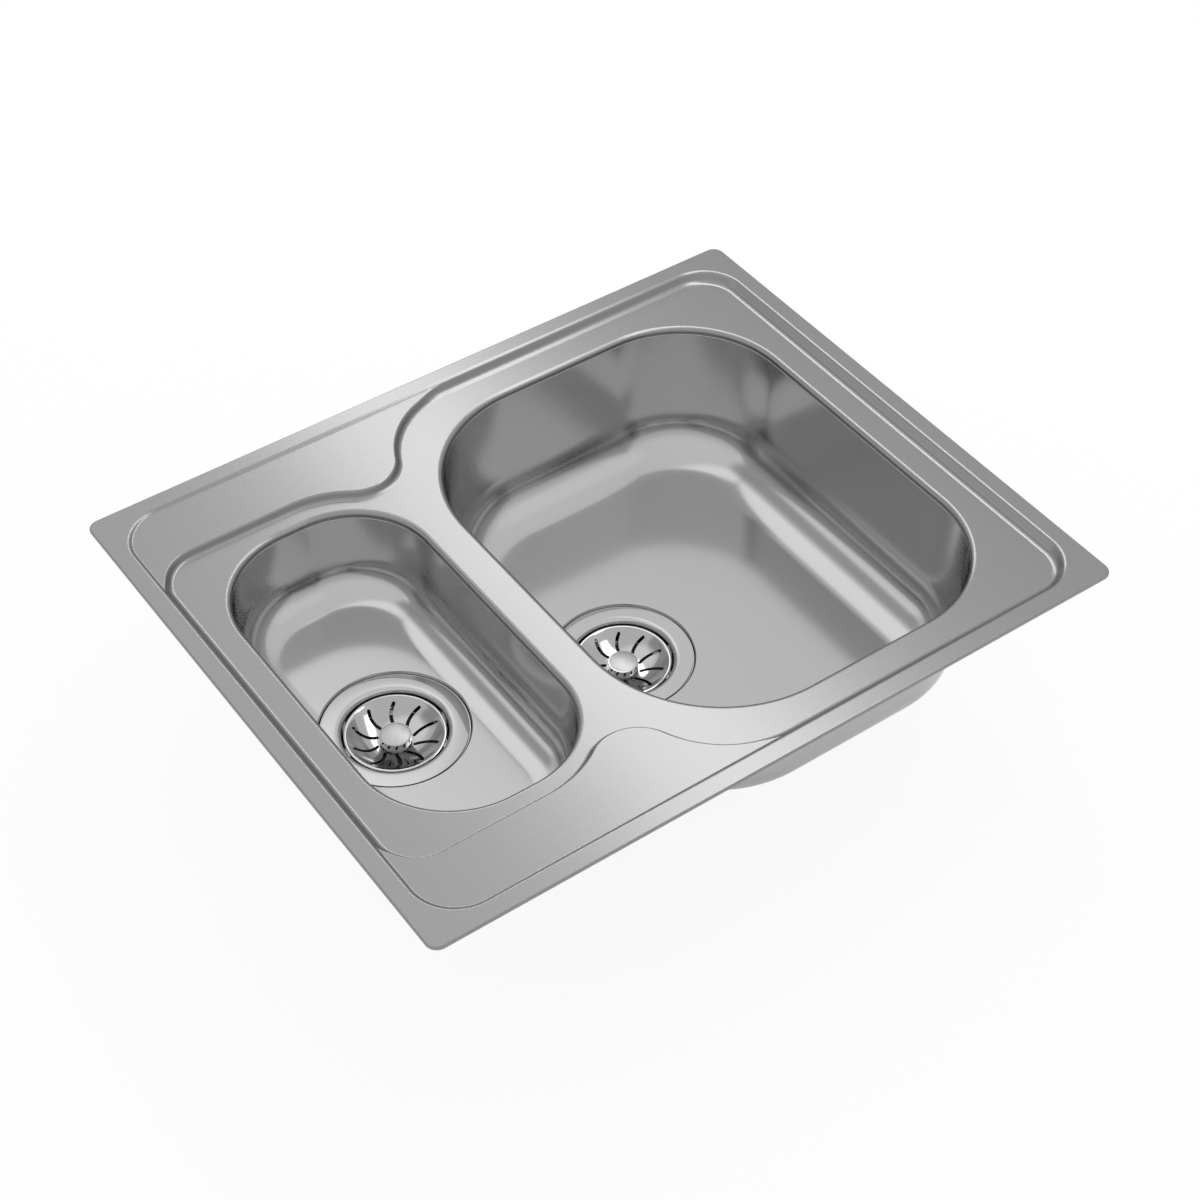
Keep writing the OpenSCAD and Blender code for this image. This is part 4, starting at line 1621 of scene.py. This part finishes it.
    def stopper(self) -> Object:
        """Moulds the rubber stopper with its two sealing lips.

        Returns:
            The stopper.
        """
        r, z = self.stopper_r, -self.well_h
        line = [(7, z), (r - 3, z), (r - 2.5, z + 0.5), (r - 1.6, z + 0.5), (r - 1, z), (r - 0.3, z + 0.3), (r, z + 1)]
        line += [(r - 0.4, z + 1.7), (r - 0.8, z + 2.1), (r - 0.5, z + 2.6), (r - 0.8, z + 3.1), (r - 1.6, z + 3.2)]
        return shade(lathe("stopper", line + [(7, z + 3.2)]), 40)

    def centre_screw(self) -> Object:
        """Turns the screw that pulls the strainer and the body together.

        Returns:
            The screw.
        """
        z, root = -self.well_h, self.screw_r - 0.4
        end = z - self.boss_h - self.metal + 2
        line = [(0, z - 1), (2.05, z - 1), (2.05, z + 3), (4.4, z + 3), (4.85, z + 2.8), (5, z + 2.4), (5, z + 0.2)]
        line += [(4.8, z), (root, z), (root, end + 0.6), (2.2, end), (0, end)]
        shank = lathe("centre_screw", line, 48, closed=False)
        return shade(join(shank, thread("ridge", root, self.screw_r, 1.0, end + 0.5, z - 0.4, 24)), 35)

    def gasket(self, name: str, low: float, high: float) -> Object:
        """Moulds a flat ring with rounded edges.

        Args:
            name: the new object's name.
            low: height of its underside.
            high: height of its top.

        Returns:
            The ring.
        """
        r0, r1 = self.sizes.hole_r + 1, self.sizes.flange_r - 1
        e = min(0.25, (high - low) / 3)
        line = [(r0 + e, low), (r1 - e, low), (r1, low + e), (r1, high - e)]
        line += [(r1 - e, high), (r0 + e, high), (r0, high - e), (r0, low + e)]
        return shade(lathe(name, line), 35)

    def body(self) -> Object:
        """Moulds the body: collar, cone, threaded spigot, grip ribs, and the boss on its webs.

        Returns:
            The body.
        """
        top, w, r = self.body_top, self.wall, self.well_r + self.metal + 2
        seat = self.well_h + self.metal
        deep = -seat - self.cone_h
        low = deep - self.cone_h
        end, boss_low = low - self.outlet_h, -seat - self.boss_h
        collar, outer, outlet = self.sizes.flange_r - 1, r + w, self.outlet_r
        inner, root = outlet - w, outlet - self.thread_h
        line = [(r, top - 0.3), (r + 0.3, top), (collar - 0.5, top), (collar, top - 0.5), (collar, top - w + 0.6)]
        line += [(collar - 0.6, top - w), (outer + 1.2, top - w), (outer + 0.3, top - w - 0.4), (outer, top - w - 1.4)]
        line += [(outer, deep + 1.5), (outer - 0.5, deep - 0.2), (outer - 1.8, deep - 1.4), (outlet + 1.2, low + 1.2)]
        line += [(outlet, low + 0.4), (outlet, low - 0.6), (root, low - 1.4), (root, end + 0.6), (root - 0.6, end)]
        line += [(inner + 0.4, end), (inner, end + 0.4), (inner, low + 1), (r, deep + 1)]
        shell = lathe("waste_body", line)
        ridge = thread("ridge", root, outlet, self.outlet_pitch, end + 0.7, low - 0.8, 72)
        bore, out, high = self.bore_r - 0.2, self.boss_r, boss_low + self.boss_h
        line = [(bore, boss_low), (out - 0.6, boss_low), (out, boss_low + 0.6), (out, high), (bore, high)]
        boss = lathe("boss", line, 48)
        web = soften(block("web", (5, -w / 2, boss_low), (r + 1, w / 2, boss_low + 11)), 0.5)
        grip = soften(block("grip", (outer - 1, -1.1, deep + 2), (outer + 1.6, 1.1, top - w + 0.2)), 0.6, 3)
        ribs = around(web, self.webs, 0.25) + around(grip, self.grips, 0.5 / self.grips)
        return shade(join(shell, ridge, boss, *ribs), 35)

    def build(self, places: dict[str, Vector]) -> None:
        """Makes both wastes.

        Args:
            places: for main and half, the middle of the flange's top face.
        """
        seat = self.metal + self.flange_seal
        under = seat + self.sizes.sheet
        made = {
            "flange": (self.flange(), FLANGE_STEEL, "flange_steel", "sink"),
            "flange_gasket": (self.gasket("flange_gasket", -seat, -self.metal), SEAL_RUBBER, "seal_rubber", "sink"),
            "under_gasket": (self.gasket("under_gasket", self.body_top, -under), SEAL_RUBBER, "seal_rubber", "sink"),
            "waste_body": (self.body(), WASTE_PLASTIC, "waste_plastic", "sink"),
            "centre_screw": (self.centre_screw(), SCREW_STEEL, "screw_steel", "sink"),
            "basket": (self.basket(), BASKET_STEEL, "basket_steel", "basket"),
            "basket_stem": (self.stem(), STEM_PLASTIC, "stem_plastic", "basket"),
            "stopper": (self.stopper(), SEAL_RUBBER, "seal_rubber", "basket"),
            "knob": (self.knob(), KNOB_CHROME, "knob_chrome", "basket"),
            "knob_cap": (self.cap(), KNOB_MATT, "knob_matt", "basket"),
        }
        for bowl, place in places.items():
            for part, (template, finish, slot, body) in made.items():
                named = replace(finish, name=f"{finish.name}_{bowl}", centre=(place.x / MM, place.y / MM))
                material = bpy.data.materials.get(named.name) or named.build()
                obj = copy_of(template, f"{bowl}_{part}_piece", Matrix.Translation(place))
                settle(obj, material, slot, f"{bowl}_basket" if body == "basket" else "sink", f"{bowl}_{part}")
        for template, _, _, _ in made.values():
            bpy.data.objects.remove(template)


@dataclass
class Clips:
    """The eight worktop clips: welded bracket, slotted screw and toothed claw.

    Attributes:
        sizes: the sink's sizes.
        bracket_d, bracket_w, gauge: the bracket's depth and width, and its strip's thickness.
        claw_w, claw_t, reach: the claw's width, thickness and length.
        claw_top, claw_low: its teeth's depth below the worktop plane, and its arm's depth below them.
        collar_h, screw_r: height of its collar, and radius of the screw.
    """

    sizes: SinkSizes
    bracket_d: float = 13.0
    bracket_w: float = 24.0
    gauge: float = 1.5
    claw_w: float = 11.0
    claw_t: float = 2.5
    claw_top: float = 29.0
    claw_low: float = 12.0
    collar_h: float = 8.0
    reach: float = 34.0
    screw_r: float = 3.0

    @property
    def screw_end(self) -> float:
        """Gives the depth of the screw's shank."""
        return self.claw_top + self.claw_low

    @property
    def tab_z(self) -> float:
        """Gives the height of the bracket's lower tab."""
        return self.sizes.deck_z - self.sizes.sheet - 16

    def bracket(self, name: str, top: float) -> Object:
        """Folds one bracket from strip, with a threaded plate in its lower tab.

        Args:
            name: the new object's name.
            top: height of the face that it is welded to.

        Returns:
            The bracket about its screw's axis.
        """
        d, w, g, low = self.bracket_d / 2, self.bracket_w / 2, self.gauge, self.tab_z
        obj = block(name, (-d, -w, low), (d, w, top))
        edit(obj, "FACE")
        pick(obj, "faces", lambda f: abs(f.normal.x) > 0.9)
        bpy.ops.mesh.delete(type="FACE")
        bpy.ops.mesh.select_mode(type="EDGE")
        pick(obj, "edges", lambda e: not e.is_boundary)
        bpy.ops.mesh.bevel(offset=2.2 * MM, segments=5, affect="EDGES")
        bpy.ops.object.mode_set(mode="OBJECT")
        modify(obj, "SOLIDIFY", thickness=g * MM, offset=-1.0, use_even_offset=True)
        soften(obj, 0.15, 1, 60)
        bore, flat = self.screw_r + 0.04, low + 2 * g
        nut = lathe("nut", [(bore, low + 0.2), (5.6, low + 0.2), (5.6, flat - 0.3), (5.2, flat), (bore, flat)], 32)
        hole = rod("hole", self.screw_r + 0.03, low - 1, flat + 1, sides=32)
        return shade(join(cut(obj, hole), nut), 35)

    def screw(self) -> Object:
        """Turns one screw: threaded shank and a hexagon head with a driver slot.

        Returns:
            The screw about its own axis.
        """
        end, root, top = -self.screw_end, self.screw_r - 0.5, self.tab_z + 8
        line = [(0, end - 0.1), (root, end - 0.1), (root, top - 0.5), (root - 0.4, top), (0, top)]
        shank = lathe("screw", line, 24, closed=False)
        ridge = thread("ridge", root, self.screw_r, 1.0, end + 0.3, top - 0.3, 20)
        head = rod("head", 5.5, end - 4, end, sides=6)
        groove = block("groove", (-0.5, -8, end - 5), (0.5, 8, end - 2.8))
        return shade(join(shank, ridge, soften(cut(head, groove), 0.25, 2, 30)), 35)

    def claw(self) -> Object:
        """Presses one claw, with three teeth on its upturned end and a collar for the screw.

        Returns:
            The claw, pointing along X.
        """
        low = -self.screw_end + 0.1
        tip, tooth, t = self.reach, 2.0, self.claw_t
        line = [(0, low), (tip - 3.4, low), (tip - 2, low + 0.4), (tip - 0.6, low + 1.6), (tip, low + 3.2)]
        line += [(tip, -self.claw_top - tooth)]
        for k in range(3):
            line += [(tip - (k + 0.5) * tooth, -self.claw_top), (tip - (k + 1) * tooth, -self.claw_top - tooth)]
        inner, back = tip - 3 * tooth, low + t
        line += [(inner, back + 5), (inner - 0.5, back + 3.2), (inner - 2.2, back + 1.0), (inner - 5, back), (0, back)]
        arm = extrude(chain("claw", [(x, -self.claw_w / 2, z) for x, z in line]), (0, self.claw_w, 0))
        r, high = self.claw_w / 2, low + self.collar_h
        line = [(0, low), (r - 0.4, low), (r, low + 0.4), (r, high - 0.6), (r - 0.6, high), (0, high)]
        cut(arm, lathe("collar", line, 48, closed=False), operation="UNION")
        cut(arm, rod("bore", self.screw_r + 0.05, low - 1, high + 1))
        return shade(soften(arm, 0.22, 2, 40), 35)

    def build(self) -> None:
        """Makes all the clips, each at its own place, with its claw parked along the sink's edge."""
        s = self.sizes
        deck, ledge = s.deck_z - s.sheet, s.rim_h - s.ledge_drop - s.sheet
        turns = {"right": 0, "rear": 90, "left": 180, "front": 270}
        axes = {joint["child"]: joint["pos_m"] for joint in frame["joints"] if joint["type"] == "hinge"}
        brackets = {deck: self.bracket("bracket", deck), ledge: self.bracket("bracket", ledge)}
        screw, claw = self.screw(), self.claw()
        zinc = ZINC_STEEL.build()
        frames, bolts = [], []
        for node, (px, py, _) in axes.items():
            side, end = node.split("_")[1:]
            top = ledge if side in ("rear", "front") and end == "left" else deck
            move = Matrix.Translation((px, py, 0)) @ Matrix.Rotation(math.radians(turns[side]), 4, "Z")
            frames.append(copy_of(brackets[top], "clip_brackets_piece", move))
            bolts.append(copy_of(screw, "clip_screws_piece", move))
            parked = copy_of(claw, f"{node}_piece", move @ Matrix.Rotation(math.pi / 2, 4, "Z"))
            settle(parked, zinc, "zinc_steel", node, node)
        settle(join(*frames), zinc, "zinc_steel", "sink", "clip_brackets")
        settle(join(*bolts), zinc, "zinc_steel", "sink", "clip_screws")
        for template in (*brackets.values(), screw, claw):
            bpy.data.objects.remove(template)


@dataclass
class Underside:
    """The foam seal under the rim and the sound-deadening pads under the bowls.

    Attributes:
        sizes: the sink's sizes.
        seal_in, seal_gap: the foam's inner side from the rim's edge, and its outer side from the sheet.
        pad_t, pad_corner, pad_gap: a pad's thickness, corner radius and distance from the waste.
        groove_pitch, groove_w, groove_h: distance, width and depth of the waffle's grooves.
    """

    sizes: SinkSizes
    seal_in: float = 8.5
    seal_gap: float = 0.8
    pad_t: float = 2.5
    pad_corner: float = 7.0
    pad_gap: float = 6.0
    groove_pitch: float = 12.0
    groove_w: float = 1.2
    groove_h: float = 0.7

    def seal(self) -> Object:
        """Lays the foam strip round the rim, with softly rounded edges.

        Returns:
            The strip.
        """
        s = self.sizes
        out, top = s.sheet + self.seal_gap, s.rim_h - s.sheet
        clear_selection()
        bpy.ops.mesh.primitive_plane_add(size=1, location=(0, 0, 0))
        obj = bpy.context.object
        obj.name = "rim_seal_piece"
        edit(obj, everything=True)
        bpy.ops.transform.resize(value=((s.rim_x - 2 * out) * MM, (s.rim_y - 2 * out) * MM, 1))
        bpy.ops.mesh.bevel(offset=(s.rim_corner - out) * MM, segments=8, affect="VERTICES")
        bpy.ops.mesh.select_mode(type="FACE")
        bpy.ops.mesh.select_all(action="SELECT")
        bpy.ops.mesh.inset(thickness=(self.seal_in - out) * MM, depth=0)
        bpy.ops.mesh.delete(type="FACE")
        bpy.ops.mesh.select_all(action="SELECT")
        bpy.ops.mesh.extrude_region_move(TRANSFORM_OT_translate={"value": (0, 0, top * MM)})
        bpy.ops.object.mode_set(mode="OBJECT")
        return shade(soften(tidy(obj), 0.35, 2, 40), 40)

    def pad(self, name: str, node: str, part: int = 0) -> Object:
        """Moulds one pad in the place of its solid, with round corners and a waffle of grooves.

        Args:
            name: the new object's name.
            node: the CAD node.
            part: 0 for the whole node, or -1 and 1 for its front and rear halves.

        Returns:
            The pad.
        """
        low, high = (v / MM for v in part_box(node))
        if part:
            gap = self.sizes.flange_r + self.sizes.sheet + self.pad_gap
            low.y, high.y = (gap, high.y) if part > 0 else (low.y, -gap)
        obj = block(name, low, high)
        edit(obj, "EDGE")
        pick(obj, "edges", lambda e: abs((e.verts[0].co - e.verts[1].co).z) > self.pad_t * MM * 0.9)
        bpy.ops.mesh.bevel(offset=self.pad_corner * MM, segments=6, affect="EDGES")
        bpy.ops.object.mode_set(mode="OBJECT")
        soften(obj, 0.5, 2, 60)
        grooves, wide = [], self.groove_pitch
        for axis in (0, 1):
            count = int((high[axis] - low[axis] - 2) // wide)
            first = (low[axis] + high[axis]) / 2 - (count - 1) * wide / 2
            for i in range(count):
                a, b = Vector(low) - Vector((1, 1, 1)), Vector(high) + Vector((1, 1, 0))
                middle = first + i * wide
                a[axis], b[axis] = middle - self.groove_w / 2, middle + self.groove_w / 2
                b.z = low.z + self.groove_h + 0.01 * axis
                grooves.append(block("groove", a, b))
        for groove in grooves:
            cut(obj, groove)
        return shade(obj, 35)

    def build(self) -> None:
        """Makes the seal and the pads."""
        pads = PAD_RUBBER.build()
        settle(self.seal(), SEAL_FOAM.build(), "seal_foam", "sink", "rim_seal")
        settle(self.pad("main_sound_pad_piece", "main_sound_pad"), pads, "pad_rubber", "sink", "main_sound_pad")
        halves = (self.pad("half_sound_pads_piece", "half_sound_pads", 1), self.pad("half_pad", "half_sound_pads", -1))
        both = join(*halves)
        settle(both, pads, "pad_rubber", "sink", "half_sound_pads")


# ---------------------------------------------------------------- the studio


@dataclass(frozen=True)
class Patch:
    """A part of the room that metal shows lighter or darker than the rest.

    Attributes:
        azimuth: its direction in plan, in degrees from +Y towards +X.
        rise: its height above the horizon, in degrees.
        core: how far from its middle it is even, in degrees.
        edge: over how many degrees it then fades.
        gain: how much lighter it is.
    """

    azimuth: float
    rise: float
    core: float
    edge: float
    gain: float

    def share(self, tree: NodeTree, way: NodeSocket) -> NodeSocket:
        """Gives what the patch adds in a direction.

        Args:
            tree: the world's node tree.
            way: the direction.

        Returns:
            The socket with the gain.
        """
        rise, turn = math.radians(self.rise), math.radians(self.azimuth)
        middle = (math.cos(rise) * math.sin(turn), math.cos(rise) * math.cos(turn), math.sin(rise))
        near = add_node(tree, "VectorMath", {0: way, 1: middle}, operation="DOT_PRODUCT").outputs["Value"]
        fade = (math.cos(math.radians(self.core + self.edge)), math.cos(math.radians(self.core)))
        return remap(tree, near, fade, (0.0, self.gain), "SMOOTHSTEP")


# What the steps and the bowls' walls show: a dim corner at the rear left, a lit ceiling behind the sink,
# a pale wall at the front right and a low pale wall at the left.
ROOM = (
    Patch(-43, 42, 7, 11, -0.38),
    Patch(-3, 60, 14, 14, 0.33),
    Patch(137, 42, 9, 12, 0.08),
    Patch(-60, 20, 8, 10, 0.25),
)


def in_metal(tree: NodeTree, path: bpy.types.bpy_prop_collection) -> NodeSocket:
    """Gives the socket that is one where something is seen in metal or through clear plastic."""
    return calculate(tree, "MAXIMUM", path["Is Glossy Ray"], path["Is Transmission Ray"])


@dataclass
class Studio:
    """The plain pale floor, the one softbox, the white surroundings and the camera.

    Attributes:
        camera_at: the camera's place.
        look_at: what it is turned to.
        lens: its focal length on a 36 mm sensor.
        left: how bright the room's left side is in the metal.
        right: how bright its right side is there.
        low: the share of that which is left near the horizon.
        plain: how bright the room is to matt surfaces.
        glow: the floor's own light, as the camera sees it.
        metal_glow: the same as the metal shows it.
        box_at: the softbox's place, in metres.
        box_size: its width and length, in metres.
        box_power: its power, in watts.
        box_turn: its turn in plan, in degrees.
        floor_gap: how far the floor lies below the object, in metres.
    """

    camera_at: tuple[float, float, float] = (-769.416, -1090.602, 1296.059)
    look_at: tuple[float, float, float] = (-29.201, -48.029, 3.0)
    lens: float = 72.554
    left: float = 0.85
    right: float = 0.82
    low: float = 0.7
    plain: float = 1.0
    glow: float = 0.9
    metal_glow: float = 0.2
    box_at: tuple[float, float, float] = (0.529, 1.3, 1.0)
    box_size: Point = (0.27, 3.4)
    box_power: float = 7.2
    box_turn: float = -1.3
    floor_gap: float = 0.0005

    def camera(self) -> None:
        """Sets the camera at the photograph's place and angle."""
        data = bpy.data.cameras.new("camera")
        data.lens, data.sensor_width, data.clip_end = self.lens, 36.0, 50.0
        camera = add_object("camera", data)
        place, target = Vector(self.camera_at) * MM, Vector(self.look_at) * MM
        camera.location = place
        camera.rotation_euler = (target - place).to_track_quat("-Z", "Y").to_euler()
        bpy.context.scene.camera = camera

    def world(self) -> None:
        """Makes surroundings that are white to the camera and a pale room to metal and plastic."""
        world = bpy.data.worlds.new("surroundings")
        bpy.context.scene.world = world
        tree = empty_tree(world)
        path = add_node(tree, "LightPath").outputs
        way = add_node(tree, "TexCoord").outputs["Generated"]
        split = add_node(tree, "SeparateXYZ", {"Vector": way}).outputs
        side = remap(tree, split["X"], (-0.7, 0.7), (self.left, self.right), "SMOOTHSTEP")
        rise = remap(tree, split["Z"], (0.25, 0.62), (self.low, 1.0), "SMOOTHSTEP")
        seen = calculate(tree, "MULTIPLY", side, rise)
        for patch in ROOM:
            seen = calculate(tree, "ADD", seen, patch.share(tree, way))
        levels = {"Factor": in_metal(tree, path), "A": self.plain, "B": seen}
        room = add_node(tree, "Mix", levels, data_type="FLOAT").outputs["Result"]
        levels = {"Factor": path["Is Camera Ray"], "A": room, "B": 1.0}
        level = add_node(tree, "Mix", levels, data_type="FLOAT").outputs["Result"]
        light = add_node(tree, "Background", {"Color": linear("#FFFFFF"), "Strength": level})
        add_node(tree, "OutputWorld", {"Surface": light.outputs["Background"]})

    def softbox(self) -> None:
        """Hangs the long softbox behind the sink, facing straight down."""
        data = bpy.data.lights.new("long_softbox", "AREA")
        data.shape, data.energy = "RECTANGLE", self.box_power
        data.size, data.size_y = self.box_size
        lamp = add_object("long_softbox", data)
        lamp.location = self.box_at
        lamp.rotation_euler = (0.0, 0.0, math.radians(self.box_turn))

    def spare(self, names: tuple[str, ...]) -> None:
        """Keeps the softbox's glare off some pieces, which the room alone then lights.

        Args:
            names: how the pieces' names start.
        """
        group = bpy.data.collections.new("out_of_the_softbox")
        for obj in bpy.data.objects:
            if obj.type == "MESH" and obj.name.startswith(names):
                group.objects.link(obj)
        for entry in group.collection_objects:
            entry.light_linking.link_state = "EXCLUDE"
        bpy.data.objects["long_softbox"].light_linking.receiver_collection = group

    def floor(self, level: float) -> None:
        """Lays the pale floor just under the lowest point.

        Args:
            level: the floor's height in metres.
        """
        clear_selection()
        bpy.ops.mesh.primitive_plane_add(size=30, location=(0, 0, level))
        floor = bpy.context.object
        floor.name = "floor"
        material = bpy.data.materials.new("pale_floor")
        tree = empty_tree(material)
        path = add_node(tree, "LightPath").outputs
        paint = add_node(tree, "BsdfDiffuse", {"Color": linear("#EEEEEE")})
        light = add_node(tree, "Emission", {"Color": linear("#FFFFFF"), "Strength": 1.0})
        metal = calculate(tree, "MULTIPLY", in_metal(tree, path), self.metal_glow)
        share = calculate(tree, "MULTIPLY_ADD", path["Is Camera Ray"], self.glow, metal)
        both = {0: share, 1: paint.outputs["BSDF"], 2: light.outputs["Emission"]}
        mixed = add_node(tree, "MixShader", both)
        add_node(tree, "OutputMaterial", {"Surface": mixed.outputs["Shader"]})
        floor.data.materials.append(material)

    def build(self, lowest: float) -> None:
        """Sets up the studio.

        Args:
            lowest: height of the object's lowest point, in metres.
        """
        bpy.context.scene.view_settings.view_transform = "Standard"
        self.camera()
        self.world()
        self.floor(lowest - self.floor_gap)
        self.softbox()


def main() -> None:
    """Builds the sink's sub-assemblies in order and dresses them."""
    logging.basicConfig(level=logging.INFO, format="%(name)s: %(message)s")
    studio = Studio()
    studio.build(CAD_BOX[0].z)
    places = {}
    for bowl in ("main", "half"):
        low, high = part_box(f"{bowl}_flange")
        places[bowl] = Vector(((low.x + high.x) / 2, (low.y + high.y) / 2, high.z))
    # The bowls and their weld beads take the sheet that is painted lighter than the deck's.
    drawn = DRAWN_SHEET_PAINTED_LIGHT.build()
    settle(Deck(SINK).build(), SATIN_SHEET_PAINTED_SHADE.build(), "satin_steel", "sink", "sink_deck")
    for bowl, place in places.items():
        shape = Bowl(SINK, f"{bowl}_bowl_piece", bowl == "main", (place.x / MM, place.y / MM))
        settle(shape.build(), drawn, "bowl_steel", "sink", f"{bowl}_bowl")
        settle(shape.weld(), drawn, "bowl_steel", "sink")
    Waste(SINK).build(places)
    Clips(SINK).build()
    Underside(SINK).build()
    studio.spare(("main_bowl", "half_bowl", "main_flange", "half_flange"))


if __name__ == "__main__":
    main()
